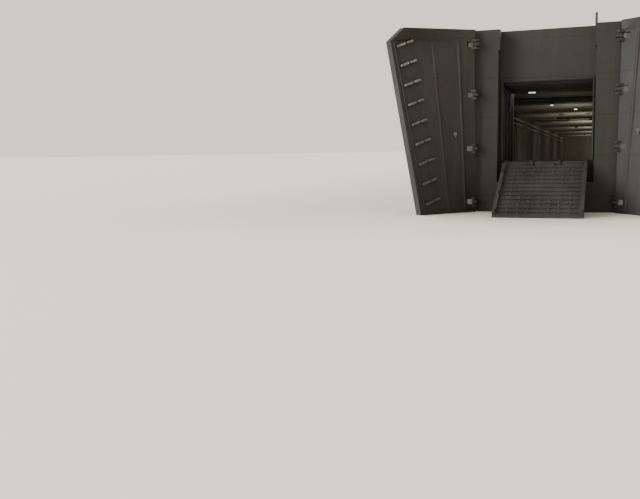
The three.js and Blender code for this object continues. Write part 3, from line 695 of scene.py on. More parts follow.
# Columns: distance from the middle line, height, radius
HALL_PIPES = ((4.2, 6.9, 0.09), (4.25, 6.55, 0.06))
frame_count = int((HALL_END - HALL_START) / FRAME_SPACE) + 1
beams = [(HALL_START + i * FRAME_SPACE, 0, TUNNEL_TOP - BEAM_DROP) for i in range(frame_count)]
for side_name, side in SIDES.items():
    wall = side * (TUNNEL_HALF - FRAME_DEPTH / 2)
    grow(bars, f"hall_frames_{side_name}", Count=frame_count,
         First=(HALL_START, wall, (TANK_DECK + TUNNEL_TOP) / 2), Step=(FRAME_SPACE, 0, 0),
         Size=(0.09, FRAME_DEPTH, TUNNEL_TOP - TANK_DECK - 0.04), slot="tank_deck_paint")
    fittings(f"hall_pipes_{side_name}", slot="tank_deck_paint", pipes=[
        ([(x, side * y, z) for x in (HALL_START, HALL_END)], radius)
        for y, z, radius in HALL_PIPES])
grow(studs, "deck_beams", [beam for beam in beams if not HATCH_START <= beam[0] <= HATCH_END],
     Radius=BEAM_RADIUS, Height=2 * TUNNEL_HALF - 0.5, Sides=4, Turn=SIDE_TURN,
     slot="tank_deck_paint")
cup_places = [(FIRST_CUP + CUP_SPACE * i, y, TANK_DECK + 0.012)
              for i in range(CUP_ROWS) for y in CUP_LINES]
grow(studs, "lashing_cups", cup_places, Radius=0.16, Height=0.03, Sides=12,
     slot="tank_deck_paint", finish="bare_steel")
print("frames:", frame_count, "lashing cups:", len(cup_places))

# %% Lamps under the ceiling
# Columns: x, y, height above the flat bottom, half-length across the ship
LIT_LAMPS = [(40.8, -1.22, 7.3, 0.19), (31.74, -0.83, 7.2, 0.1), (26.7, 0.41, 7.2, 0.1)]
UNLIT_LAMPS = [(x, y, 7.2, 0.11) for x in (19, 11, 3, -5, -13, -21, -29) for y in (-1.0, 1.0)]
LAMPS = LIT_LAMPS + UNLIT_LAMPS
for name, table, finish in (("lit", LIT_LAMPS, "lamp"), ("unlit", UNLIT_LAMPS, "glass")):
    fittings(f"hall_lenses_{name}", finish=finish, boxes=[
        slab(x, y, 0.06, half, z - 0.01, z + 0.05) for x, y, z, half in table])
fittings("hall_lamp_housings",
         boxes=[slab(x, y, 0.12, half + 0.05, z + 0.05, z + 0.14) for x, y, z, half in LAMPS],
         rods=[((x, y, z + 0.1), (x, y, TUNNEL_TOP), 0.03) for x, y, z, half in LAMPS])
print("lamps, lit and unlit:", len(LIT_LAMPS), len(UNLIT_LAMPS))

# %% [markdown]
# ## The passage through the bow
# Between hall and ramp the walls draw in to little more than the width of the doorway. The
# frames here follow that narrowing, and a rounded bar edges the doorway.

# %% Passage frames and doorway edge
PASSAGE_START, NARROWING, PASSAGE_HALF = 36.0, 5.0, 2.25
# Half of a frame's size along the ship, and half of its depth from the wall
HALF_ALONG, HALF_DEEP = 0.04, 0.07
passage = []
for x in (36.8, 38.0, 39.2, 40.4, 41.6, 42.8, 44.0, 45.2):
    share = min(1.0, (x - PASSAGE_START) / NARROWING)
    half = TUNNEL_HALF - share * (TUNNEL_HALF - PASSAGE_HALF)
    passage += [slab(x, side * (half - HALF_DEEP), HALF_ALONG, HALF_DEEP, TANK_DECK, TUNNEL_TOP)
                for side in (-1, 1)]
    passage.append(slab(x, 0, HALF_ALONG, half, TUNNEL_TOP - 0.16, TUNNEL_TOP))
fittings("passage_frames", boxes=passage, bevel=0.0, slot="tank_deck_paint")
edge_x, edge_y, edge_top = RAMP_FACE + 0.05, DOORWAY_HALF + 0.06, DOORWAY_TOP + 0.06
grow(moulding, "doorway_edge", Radius=0.05, Sides=8, path=[
    (edge_x, -edge_y, TANK_DECK), (edge_x, -edge_y, edge_top),
    (edge_x, edge_y, edge_top), (edge_x, edge_y, TANK_DECK)])
print("passage boxes:", len(passage))

# %% [markdown]
# ## The bow doors
# Each door is a hollow box of plate, stiff enough to be the ship's bow when it is shut. Seen
# open from ahead, its inner face shows two stiffeners from top to bottom and, close to the free
# edge, a ladder of slanted grab irons. Places on a door are given as on its drawing: height,
# distance back from the free edge, and distance in from its outer face. One function swings
# them to the open door.

# %% Places on a door
DOOR_AXIS = (BOW_FACE + 0.32, 3.3)
DOOR_ROOT = Vector((0.24, 0.12))
DOOR_TIP_Y = 0.035 - DOOR_AXIS[1]
# Columns: height, how far the free edge lies ahead of the hinge
DOOR_STEM = [(0.8, 0.75), (3.6, 1.43), (6.6, 2.17), (9.37, 2.85), (9.9, 1.9)]
DOOR_OPEN = math.radians(120)
INNER_FACE = 0.28


def door_tip(height):
    """The free edge of a shut door at a height, from its hinge."""
    for (z0, x0), (z1, x1) in zip(DOOR_STEM[:-1], DOOR_STEM[1:]):
        if height <= z1:
            return Vector((x0 + (height - z0) / (z1 - z0) * (x1 - x0), DOOR_TIP_Y))
    return Vector((DOOR_STEM[-1][1], DOOR_TIP_Y))


def door_width(height):
    """The width of a door at a height."""
    return (door_tip(height) - DOOR_ROOT).length


def on_door(side, height, back, off, lift=0.0):
    """A point on the open door, in ship metres."""
    tip = door_tip(height)
    along = (tip - DOOR_ROOT).normalized()
    place = tip - along * back + Vector((along.y, -along.x)) * off
    swung = Matrix.Rotation(DOOR_OPEN, 2) @ place
    return Vector((DOOR_AXIS[0] + swung.x, side * (DOOR_AXIS[1] + swung.y), height + lift))


print("door width, low and high:", round(door_width(1), 2), round(door_width(9.5), 2))

# %% Door stiffeners, grab irons, padeye and seal
RUNG_HEIGHTS = [1.56 + 0.945 * i for i in range(9)]
# Columns: share of the way along the rung at which each of its two bars starts and ends
RUNG_BARS = ((0.0, 0.52), (0.62, 1.0))
RUNG_RADIUS = 0.06
STIFFENER_SHARES = (0.18, 0.48)
STIFFENER_SECTION = ((-0.1, -0.02), (0.1, -0.02), (0.03, 0.03), (-0.03, 0.03))
PADEYE_HEIGHT, PADEYE_SHARE = 4.9, 0.72
for side_name, side in SIDES.items():
    body = f"bow_door_{side_name}_body"
    bm = bmesh.new()
    for share in STIFFENER_SHARES:
        add_loft(bm, [[on_door(side, height, door_width(height) * (1 - share) + dx, INNER_FACE + dy)
                       for dx, dy in STIFFENER_SECTION] for height in (1.0, 3.6, 6.6, 9.3)])
    keep(bm, f"door_stiffeners_{side_name}", body, "hull_paint")
    irons = []
    for height in RUNG_HEIGHTS:
        foot = on_door(side, height, 0.5, INNER_FACE + 0.07)
        top = on_door(side, height, 1.2, INNER_FACE + 0.07, 0.26)
        irons += [(foot.lerp(top, start), foot.lerp(top, end), RUNG_RADIUS)
                  for start, end in RUNG_BARS]
        irons += [(post - Vector((0.09, 0, 0)), post + Vector((0.01, 0, 0)), RUNG_RADIUS)
                  for post in (foot, top)]
    fittings(f"grab_irons_{side_name}", rods=irons, body=body, slot="hull_paint",
             finish="worn_steel")
    eye = on_door(side, PADEYE_HEIGHT, door_width(PADEYE_HEIGHT) * PADEYE_SHARE, INNER_FACE)
    fittings(f"door_padeye_{side_name}", body=body, finish="worn_steel", rods=[
        (eye, eye + Vector((0.1, 0, 0)), 0.09),
        (eye + Vector((0.06, -0.02, 0)), eye + Vector((0.06, 0.02, -0.16)), 0.035, 6)])
    grow(moulding, f"door_seal_{side_name}", Radius=0.045, Sides=8, body=body, finish="rubber_and_hole_shade",
         path=[on_door(side, height, 0.36, INNER_FACE + 0.01) for height in (0.95, 3.6, 6.6, 9.3)])
print("grab irons a door:", len(RUNG_HEIGHTS))

# %% [markdown]
# ## The ramp
# A ramp has to be stiff and must not let a wheel slip, so it has beams under it and rows of
# tilted cleats between its treads. Lifting lugs stand along its edges. It was built level and
# turned down about its hinge, and its fittings are made the same way.

# %% Ramp fittings
RAMP_AXIS = Vector((RAMP_FACE + 0.42, 0, 3.42))
RAMP_SLOPE = math.radians(32)
RAMP_LOOK = {"body": "bow_ramp_body",
             "place": Matrix.Translation(RAMP_AXIS) @ Matrix.Rotation(RAMP_SLOPE, 4, "Y")}
CLEAT_ROWS, CLEAT_COLUMNS, CLEAT_TILT = 13, 7, 0.5
fittings("ramp_underbeams", bevel=0.015, slot="tank_deck_paint", **RAMP_LOOK, boxes=[
    slab(2.5, y, 2.0, 0.06, -0.21, -0.13) for y in (-1.5, -0.75, 0.0, 0.75, 1.5)] + [
    slab(x, 0, 0.05, 1.85, -0.2, -0.14) for x in (1.2, 2.4, 3.6)])
fittings("ramp_lugs", **RAMP_LOOK, boxes=[
    slab(x, side * 1.89, 0.1, 0.03, 0.22, 0.34) for side in (-1, 1) for x in (1.0, 2.9, 4.35)],
    rods=[((4.35, side * 1.86, 0.26), (4.35, side * 1.92, 0.26), 0.11, 12) for side in (-1, 1)])
cleats = []
for row in range(CLEAT_ROWS):
    for column in range(CLEAT_COLUMNS):
        tilt = CLEAT_TILT if (row + column) % 2 else -CLEAT_TILT
        cleat = slab(0.75 + 0.3 * row, -1.35 + 0.45 * column, 0.09, 0.02, 0.14, 0.175)
        cleats.append((*cleat, 0.0, tilt))
fittings("ramp_cleats", boxes=cleats, slot="tank_deck_paint", finish="bare_steel", **RAMP_LOOK)
print("ramp cleats:", len(cleats))

# %% [markdown]
# ## The hull's sides
# A slab-sided hull would look like a wall without its small relief: rubbing bars that take the
# quay, scuppers that drain the deck, a boarding ladder, and fairleads along the edge. The bars
# follow the plating, so their lines are read from the same sections as the hull itself.

# %% Hull sections
# Columns: x, half-breadth at the deck, half-breadth at the bilge, bottom, deck, bilge radius
SECTIONS = [
    (-49.97, 5.0, 4.2, 3.75, DECK_TOP, 0.5), (-48.6, 6.4, 5.6, 3.3, DECK_TOP, 0.6),
    (-45.5, 7.4, 6.9, 2.45, DECK_TOP, 0.8), (-41, 7.62, 7.4, 1.25, DECK_TOP, 0.9),
    (-36, 7.62, 7.62, 0, DECK_TOP, 0.9), (27, 7.62, 7.6, 0, DECK_TOP, 0.9),
    (33, 7.5, 7.1, 0, DECK_TOP, 0.9), (38, 6.95, 6.2, 0.1, 8.0, 0.8),
    (42, 5.85, 5.05, 0.22, 8.45, 0.6), (44.8, 4.65, 4.05, 0.3, 8.75, 0.5),
    (BOW_FACE, 3.45, 3.3, 0.35, 8.9, 0.4)]
RAIL_INSET = 0.3


def section_at(x):
    """The hull's section at a place along it."""
    for low, high in zip(SECTIONS[:-1], SECTIONS[1:]):
        if x <= high[0]:
            share = (x - low[0]) / (high[0] - low[0])
            return [a + (b - a) * share for a, b in zip(low, high)]
    return SECTIONS[-1]


def side_point(x, z, side, proud=0.0):
    """A point on the hull's side at a height."""
    _, deck, bilge, bottom, top, radius = section_at(x)
    knuckle = bottom + radius
    half = bilge + (deck - bilge) * (z - knuckle) / (top - knuckle)
    return (x, side * (half + proud), z)


def deck_point(x, side):
    """A point on the deck, as far inboard of its edge as rails stand."""
    _, deck, _, _, top, _ = section_at(x)
    return (x, side * (deck - RAIL_INSET), top)


print("half-breadth amidships:", round(side_point(0, 5, 1)[1], 2))

# %% Rubbing bars, scuppers, side ladders and fairleads
LONG_RUN = [-45.5, -41, -36, -20, 0, 20, 27, 33, 38]
# Columns: name, height, radius, places along the hull that its line passes through
SIDE_BARS = (("sheer_bar", 7.45, 0.07, LONG_RUN + [42, 44.8, 46.5]),
             ("rubbing_bar", 5.4, 0.08, LONG_RUN))
SCUPPER_HEIGHT, LADDER_X, LADDER_RUNGS = 6.95, -12.6, 11
for side_name, side in SIDES.items():
    for title, height, radius, places in SIDE_BARS:
        grow(moulding, f"{title}_{side_name}", Radius=radius, Sides=8, slot="hull_paint",
             path=[side_point(x, height, side, -0.02) for x in places])
    scuppers = [side_point(x, SCUPPER_HEIGHT, side) for x in range(-40, 33, 8)]
    grow(rings, f"scupper_rims_{side_name}", scuppers, Radius=0.14, Rim=0.035, Sides=14,
         Turn=SIDE_TURN, slot="hull_paint")
    # A dark disc inside each rim is painted shade, standing for the dark inside of the scupper.
    grow(studs, f"scupper_shade_discs_{side_name}", scuppers, Radius=0.13, Height=0.03, Sides=14,
         Turn=SIDE_TURN, finish="rubber_and_hole_shade")
    grow(bars, f"side_ladder_{side_name}", Count=LADDER_RUNGS, Step=(0, 0, 0.33),
         First=side_point(LADDER_X, 3.9, side, 0.02), Size=(0.42, 0.09, 0.05),
         slot="hull_paint", finish="gear_paint")
    chocks = []
    for x, y, z in [deck_point(place, side) for place in (-47.2, -28.5, 3.0, 32.6)]:
        chocks.append(slab(x, y, 0.45, 0.14, z, z + 0.09))
        chocks += [slab(x + dx, y, 0.14, 0.12, z + 0.05, z + 0.34) for dx in (-0.31, 0.31)]
    fittings(f"fairleads_{side_name}", boxes=chocks, bevel=0.05)
print("sides dressed, ladder rungs:", LADDER_RUNGS)

# %% [markdown]
# ## The weather deck
# The open deck has its own lashing cups, round manholes to the tanks, lockers, and a hatch whose
# cover is held by wedges. Rails close the gaps that the solid rails leave at the shoulders of the
# bow and round the stern, and small brackets stay the bulwark.

# %% Deck cups and manholes


def circle_of(count, radius, x, y, z):
    """Places spaced evenly round a circle."""
    angles = [math.tau * i / count for i in range(count)]
    return [(x + radius * math.cos(a), y + radius * math.sin(a), z) for a in angles]


outer_cups = [(x, y) for x in range(-9, 31, 3) for y in (-4.2, -2.9, 2.9, 4.2)]
inner_cups = [(x, y) for x in (-9, -6, -3, 0, 3, 18, 21, 24) for y in (-1.2, 1.2)]
deck_cups = [(x, y, DECK_TOP + 0.015) for x, y in outer_cups + inner_cups]
grow(studs, "deck_lashing_cups", deck_cups, Radius=0.16, Height=0.04, Sides=12,
     slot="deck_paint", finish="bare_steel")
manholes = [(x, y, DECK_TOP + 0.05) for x in (-24.5, -7.5, 6.0, 17.0, 27.5) for y in (-6.3, 6.3)]
grow(studs, "manhole_covers", manholes, Radius=0.4, Height=0.1, Sides=20, slot="deck_paint")
grow(rings, "manhole_rims", manholes, Radius=0.42, Rim=0.05, Sides=20, slot="deck_paint")
grow(studs, "manhole_bolts", Radius=0.035, Height=0.06, Sides=6, points=[
    bolt for x, y, z in manholes for bolt in circle_of(8, 0.31, x, y, z + 0.06)])
print("deck cups:", len(deck_cups), "manholes:", len(manholes))

# %% Hatch wedges, ventilator bands, lockers and lifebuoys
WEDGES = 12
for side_name, side in SIDES.items():
    grow(bars, f"hatch_wedges_{side_name}", Count=WEDGES, Step=(0.58, 0, 0),
         First=(8.3, side * 2.41, DECK_TOP + 0.56), Size=(0.16, 0.14, 0.22),
         slot="deck_paint", finish="gear_paint")
    bands = [(x, side * 5.6, z) for x in (-10, -3, 4, 19, 25.5) for z in (7.75, 8.46)]
    grow(rings, f"ventilator_bands_{side_name}", bands, Radius=0.37, Rim=0.04, Sides=16,
         slot="deck_paint")
    lockers = []
    for x in (-24.6, 0.8, 31.0):
        lockers += [slab(x, side * 3.2, 0.7, 0.35, DECK_TOP, DECK_TOP + 0.75),
                    slab(x, side * 3.2, 0.75, 0.4, DECK_TOP + 0.72, DECK_TOP + 0.82)]
    fittings(f"deck_lockers_{side_name}", boxes=lockers, bevel=0.04, slot="house_paint")
    buoys = [(x, side * 7.22, 8.35) for x in (-28.0, -9.0, 14.0)]
    grow(rings, f"lifebuoys_{side_name}", buoys, Radius=0.33, Rim=0.09, Sides=20, Turn=SIDE_TURN,
         slot="raft_canvas", smooth=True)
print("wedges a side:", WEDGES, "lifebuoys a side:", len(buoys))

# %% Rails and bulwark stays
RAIL = {"Spacing": 1.4, "Height": 1.02, "Post": 0.035, "Wire": 0.018}
STAY_HALF, STAY_HEIGHT = 0.025, 0.85
for side_name, side in SIDES.items():
    grow(rail, f"rail_shoulder_{side_name}", **RAIL,
         path=[deck_point(x, side) for x in (31.7, 33.0, 36.3)])
    bm = bmesh.new()
    for place in (37.6, 38.8, 40.0, 41.2, 42.4, 43.4, 44.4, 45.4):
        x, y, z = deck_point(place, side)
        inner, outer = y - side * 0.32, y + side * 0.2
        add_loft(bm, [[(x + dx, inner, z), (x + dx, outer, z), (x + dx, outer, z + STAY_HEIGHT)]
                      for dx in (-STAY_HALF, STAY_HALF)])
    keep(bm, f"bulwark_stays_{side_name}", slot="hull_paint")
stern_line = [deck_point(x, -1) for x in (-43.7, -45.5, -48.5)] + [(-49.75, -4.6, DECK_TOP)]
stern_line += [(x, -y, z) for x, y, z in reversed(stern_line)]
grow(rail, "rail_stern", path=stern_line, **RAIL)
print("rails closed")

# %% [markdown]
# ## The houses aft
# The deckhouse holds the cabins, and the ship is steered from the wheelhouse on top. What makes
# a plain steel box read as a house is its openings: portholes in raised rims, windows, and doors
# with dogs on one edge and hinge pins on the other. Ladders join the decks.

# %% Portholes
HOUSE_BACK, HOUSE_FRONT, HOUSE_HALF, WHEELHOUSE_HALF = -41.5, -26.0, 4.4, 2.6
PORT_HEIGHT = 9.0
SIDE_PORTS = (-40.2, -37.2, -35.0, -32.8, -30.6)
# Columns: wall, turn of the rims, points
PORT_ROWS = (
    ("house_starboard", SIDE_TURN, [(x, -HOUSE_HALF, PORT_HEIGHT) for x in SIDE_PORTS]),
    ("house_port", SIDE_TURN, [(x, HOUSE_HALF, PORT_HEIGHT) for x in SIDE_PORTS]),
    ("house_front", END_TURN, [(HOUSE_FRONT, y, PORT_HEIGHT) for y in (-2.7, -1.0, 1.0, 2.7)]),
    ("house_back", END_TURN, [(HOUSE_BACK, y, PORT_HEIGHT) for y in (-3.4, -1.7, 1.7, 3.4)]))
for where, turn, points in PORT_ROWS:
    grow(rings, f"port_rims_{where}", points, Radius=0.23, Rim=0.05, Sides=18, Turn=turn,
         slot="house_paint", smooth=True)
    grow(studs, f"port_glass_{where}", points, Radius=0.21, Height=0.05, Sides=18, Turn=turn,
         finish="glass")
print("portholes:", sum(len(points) for _, _, points in PORT_ROWS))

# %% Wheelhouse windows
FRONT_X = -26.8
SILL, HEAD = 11.05, 11.85
FRAME_WIDTH, HALF_THICK = 0.06, 0.03
# Columns: x, y, which way the wall faces along x and y, half-width of the window
WINDOWS = [(FRONT_X, y, 1, 0, 0.27) for y in (-1.2, -0.6, 0.0, 0.6, 1.2)]
WINDOWS += [(x, side * WHEELHOUSE_HALF, 0, side, 0.33)
            for side in (-1, 1) for x in (-31.4, -30.4, -29.4, -28.5)]


def panel(x, y, out_x, out_y, half, proud, inset=0.0):
    """A plate on a window's wall, drawn in from the window's edges by an inset."""
    half_x, half_y = (HALF_THICK, half - inset) if out_x else (half - inset, HALF_THICK)
    return slab(x + out_x * proud, y + out_y * proud, half_x, half_y, SILL + inset, HEAD - inset)


fittings("wheelhouse_window_frames", boxes=[panel(*window, 0.01) for window in WINDOWS],
         bevel=0.015, slot="house_paint")
fittings("wheelhouse_window_panes", bevel=0.01, finish="glass",
         boxes=[panel(*window, 0.03, FRAME_WIDTH) for window in WINDOWS])
print("windows:", len(WINDOWS))

# %% House doors with sills and dogs
DOOR_SILL = 0.28
# Half of the thickness of a door's leaf and of the frame round it
LEAF_HALF, SURROUND_HALF = 0.035, 0.02
# Columns: x, floor, distance of the wall from the middle line, half-width, height of the top
HOUSE_DOORS = ((-28.3, DECK_TOP, HOUSE_HALF, 0.42, 1.78), (-38.9, DECK_TOP, HOUSE_HALF, 0.42, 1.78),
               (-32.0, HOUSE_TOP, WHEELHOUSE_HALF, 0.3, 0.85))
leaves, sills, dogs = [], [], []
for x, floor, wall, half, top in HOUSE_DOORS:
    for side in (-1, 1):
        leaves.append(slab(x, side * (wall + LEAF_HALF), half, LEAF_HALF, floor + DOOR_SILL,
                           floor + top))
        sills.append(slab(x, side * (wall + SURROUND_HALF), half + 0.08, SURROUND_HALF,
                          floor + 0.2, floor + top + 0.08))
        out, hinge, pin = side * (wall + 0.1), side * (wall + 0.06), x - half - 0.04
        for share in (0.12, 0.5, 0.88):
            z = floor + DOOR_SILL + (top - DOOR_SILL) * share
            dogs += [((x + half - 0.02, out, z), (x + half + 0.1, out, z + 0.06), 0.025),
                     ((pin, hinge, z - 0.06), (pin, hinge, z + 0.06), 0.035)]
fittings("house_door_leaves", boxes=leaves, bevel=0.03, slot="house_paint")
fittings("house_door_sills", boxes=sills, slot="house_paint", finish="gear_paint")
fittings("house_door_dogs", rods=dogs)
print("house doors:", len(leaves))

# %% Ladders
AFT_STEPS, AFT_RISE = 8, 1.25
LADDER_FOOT, LADDER_HEAD, LADDER_Y = -43.9, -42.0, 2.9
STRING_APART, HANDRAIL_APART = (-0.34, 0.34), (-0.38, 0.38)
for side_name, side in SIDES.items():
    y = side * LADDER_Y
    handrails = [([(-44.0, y + dy, DECK_TOP + 0.9), (-42.25, y + dy, HOUSE_TOP + 1.02)], 0.025)
                 for dy in HANDRAIL_APART]
    handrails += [([(LADDER_FOOT + dx, y + dy, DECK_TOP + dx * AFT_RISE),
                    (-44.0 + dx, y + dy, DECK_TOP + 0.95 + dx * AFT_RISE)], 0.02)
                  for dx in (0.1, 0.9) for dy in HANDRAIL_APART]
    fittings(f"aft_ladder_strings_{side_name}", pipes=handrails, rods=[
        ((LADDER_FOOT, y + dy, DECK_TOP), (LADDER_HEAD, y + dy, HOUSE_TOP + 0.9), 0.045)
        for dy in STRING_APART])
    grow(bars, f"aft_ladder_steps_{side_name}", Count=AFT_STEPS, First=(-43.72, y, DECK_TOP + 0.3),
         Step=(0.172, 0, 0.297), Size=(0.2, 0.66, 0.035))
grow(bars, "wheelhouse_ladder", Count=7, First=(-32.58, 0, HOUSE_TOP + 0.3), Step=(0, 0, 0.32),
     Size=(0.08, 0.46, 0.04))
fittings("wheelhouse_ladder_strings", rods=[
    ((-32.6, y, HOUSE_TOP), (-32.6, y, WHEELHOUSE_TOP - 0.1), 0.035) for y in (-0.23, 0.23)])
grow(bars, "mast_rungs", Count=28, First=(-34.8, 0, HOUSE_TOP + 0.5), Step=(0, 0, 0.38),
     Size=(0.05, 0.4, 0.04))
print("aft ladder steps:", AFT_STEPS)

# %% [markdown]
# ## Rails, pillars and gear on the houses
# The roof edges are walked on, so rails follow them all round. Pillars hold up the overhang of
# the deckhouse roof, which also carries the life rafts.

# %% House rails and pillars
# Columns: aft end, forward end, half-width, size of the cut corners
HOUSE_ROOF, BRIDGE_ROOF = (-42, -25.6, 5.2, 0.8), (-33, -26.3, 4.2, 0.7)
ROOF_THICKNESS = 0.14
PILLAR_Y, PILLAR_PLACES = 5.0, (-41.4, -38.4, -35.4, -32.4, -29.4, -26.6)


def house_plan(roof, inset, z):
    """The outline of a roof, drawn in by an inset."""
    aft, forward, half, corner = roof
    a, b, h, cut = aft + inset, forward - inset, half - inset, 0.3 * corner
    port = [(b, h - corner, z), (b - cut, h - cut, z), (b - corner, h, z), (a, h, z)]
    return [(x, -y, z) for x, y, z in reversed(port)] + port


for title, outline in (("rail_house_roof", house_plan(HOUSE_ROOF, 0.14, HOUSE_TOP)),
                       ("rail_bridge", house_plan(BRIDGE_ROOF, 0.12, WHEELHOUSE_TOP))):
    grow(rail, title, path=outline, closed=True, **RAIL)
pillar_height = HOUSE_TOP - ROOF_THICKNESS - DECK_TOP
pillars = [(x, side * PILLAR_Y, DECK_TOP + pillar_height / 2)
           for x in PILLAR_PLACES for side in (-1, 1)]
grow(studs, "house_pillars", pillars, Radius=0.07, Height=pillar_height, Sides=12,
     slot="house_paint")
grow(moulding, "house_roof_lip", path=house_plan(HOUSE_ROOF, 0.02, HOUSE_TOP - 0.07), closed=True,
     Radius=0.06, Sides=8, slot="house_paint")
print("pillars:", len(pillars))

# %% Signal lamps
LAMP_X, LAMP_Y, LAMP_AXIS = -27.3, 3.3, WHEELHOUSE_TOP + 1.02
rods, boxes, lenses = [], [], []
for y in (-LAMP_Y, LAMP_Y):
    rods += [((LAMP_X, y, WHEELHOUSE_TOP), (LAMP_X, y, WHEELHOUSE_TOP + 0.75), 0.06, 10),
             ((LAMP_X - 0.22, y, LAMP_AXIS), (LAMP_X + 0.2, y, LAMP_AXIS), 0.25, 18),
             ((LAMP_X - 0.34, y, LAMP_AXIS), (LAMP_X - 0.2, y, LAMP_AXIS), 0.12, 18, 0.24)]
    boxes.append(slab(LAMP_X, y, 0.06, 0.3, LAMP_AXIS - 0.32, LAMP_AXIS - 0.24))
    boxes += [(*slab(LAMP_X, y + dy, 0.04, 0.02, LAMP_AXIS - 0.27, LAMP_AXIS + 0.03), 0.01)
              for dy in (-0.28, 0.28)]
    lenses.append(((LAMP_X + 0.19, y, LAMP_AXIS), (LAMP_X + 0.215, y, LAMP_AXIS), 0.22, 18))
fittings("signal_lamps", boxes=boxes, rods=rods)
fittings("signal_lamp_lenses", rods=lenses, finish="glass")
print("signal lamps:", len(lenses))

# %% Binnacle, voice pipes, vents and flagstaff
TUB_FLOOR = WHEELHOUSE_TOP + 0.15
BINNACLE_X, PIPE_X, PIPE_Y = -28.9, -28.6, 0.75
bm = bmesh.new()
add_rod(bm, (BINNACLE_X, 0, TUB_FLOOR), (BINNACLE_X, 0, TUB_FLOOR + 0.85), 0.24, 12, 0.18)
bmesh.ops.create_uvsphere(bm, u_segments=14, v_segments=8, radius=0.22,
                          matrix=Matrix.Translation((BINNACLE_X, 0, TUB_FLOOR + 0.95)))
for side in (-1, 1):
    ball, y, bend = TUB_FLOOR + 0.8, side * PIPE_Y, TUB_FLOOR + 1.0
    add_rod(bm, (BINNACLE_X, side * 0.2, ball), (BINNACLE_X, side * 0.38, ball), 0.1, 12)
    add_rod(bm, (PIPE_X, y, TUB_FLOOR), (PIPE_X, y, bend), 0.06, 10)
    add_rod(bm, (PIPE_X, y, bend), (PIPE_X - 0.18, y, bend + 0.16), 0.06, 12, 0.14)
keep(bm, "binnacle_and_voice_pipes")
vents = []
for x, y in ((-40.6, -1.6), (-40.6, 1.6), (-33.9, -1.4), (-33.9, 1.4)):
    vents += [((x, y, HOUSE_TOP), (x, y, HOUSE_TOP + 0.7), 0.22, 14),
              ((x, y, HOUSE_TOP + 0.62), (x, y, HOUSE_TOP + 0.82), 0.4, 14, 0.3)]
fittings("roof_vents", rods=vents, slot="house_paint")
fittings("flagstaff", rods=[((-49.3, 0, DECK_TOP), (-49.75, 0, 11.6), 0.045),
                            ((-49.1, 0, DECK_TOP), (-49.45, 0, 9.0), 0.03)])
print("house gear ready")

# %% [markdown]
# ## The mast's rigging
# Wire stays hold the mast against the roll, and thin halyards run from the yard to the bridge.
# Each is a straight taut wire, so a plain rod between two points says all there is to say.

# %% Stays, halyards, bands and masthead light
MAST_X, MASTHEAD, YARD = -35.0, 21.2, 19.45
# Columns: distance from the middle line at the yard, and at the bridge
HALYARDS = ((2.9, 3.95), (2.5, 3.6))
stays, sheaves = [], []
for side in (-1, 1):
    stays += [((MAST_X, 0, MASTHEAD), (-41.7, side * 4.9, HOUSE_TOP + 0.05), 0.025),
              ((MAST_X, 0, MASTHEAD), (-30.5, side * 5.0, HOUSE_TOP + 0.05), 0.025),
              ((MAST_X, side * 2.95, YARD + 0.05), (MAST_X, 0, MASTHEAD + 0.2), 0.018)]
    for top_y, foot_y in HALYARDS:
        stays.append(((MAST_X, side * top_y, YARD),
                      (-32.7, side * foot_y, WHEELHOUSE_TOP + 0.05), 0.012))
        sheaves.append(((MAST_X - 0.06, side * top_y, YARD - 0.07),
                        (MAST_X + 0.06, side * top_y, YARD - 0.07), 0.07))
fittings("mast_stays", rods=stays)
grow(rings, "mast_bands", [(MAST_X, 0, z) for z in (13.0, 15.5, 19.5, MASTHEAD, 23.6)],
     Radius=0.19, Rim=0.035, Sides=14)
fittings("yard_sheaves", rods=sheaves)
fittings("masthead_light", boxes=[slab(-34.75, 0, 0.15, 0.16, 22.1, 22.17)],
         rods=[((-34.75, 0, 22.2), (-34.75, 0, 22.5), 0.12)], finish="glass")
print("stays:", len(stays))

# %% [markdown]
# ## Life rafts
# A raft of this kind is a copper float bound in canvas, with a slatted floor hung in its middle.
# The bindings are rings set round the float, turned to suit the long sides and the ends.

# %% Raft bindings and slats
RAFT_Y, RAFT_Z, RAFT_PLACES = 3.9, HOUSE_TOP + 0.2, (-38.5, -34.5)
BINDING = {"Radius": 0.255, "Rim": 0.03, "Sides": 12, "slot": "raft_canvas", "finish": "rope"}
for side_name, side in SIDES.items():
    for number, x in enumerate(RAFT_PLACES, 1):
        y, title = side * RAFT_Y, f"raft_bindings_{side_name}_{number}"
        grow(rings, title, [(x + dx, y + dy, RAFT_Z) for dx in (-0.9, -0.3, 0.3, 0.9)
                            for dy in (-0.585, 0.585)], Turn=END_TURN, **BINDING)
        grow(rings, f"{title}_ends", [(x + dx, y, RAFT_Z) for dx in (-1.325, 1.325)],
             Turn=SIDE_TURN, **BINDING)
        grow(bars, f"raft_slats_{side_name}_{number}", Count=12, First=(x - 1.05, y, RAFT_Z - 0.08),
             Step=(0.19, 0, 0), Size=(0.1, 0.82, 0.04), slot="boat_paint")
print("rafts bound")

# %% [markdown]
# ## Boats and davits
# The landing boats are painted plywood, ribbed inside, with an engine box aft, a square ramp in
# the bow and a rope-bound fender round the gunwale. Everything on a boat rides on the boat, so it
# stays level with it when the davits swing out.

# %% Boat fittings
BOAT_X, BOAT_Y = -18.0, 5.95
BOAT_FLOOR, GUNWALE = 8.79, 10.2
WHEEL_X, WHEEL_Z = BOAT_X - 3.5, 10.05
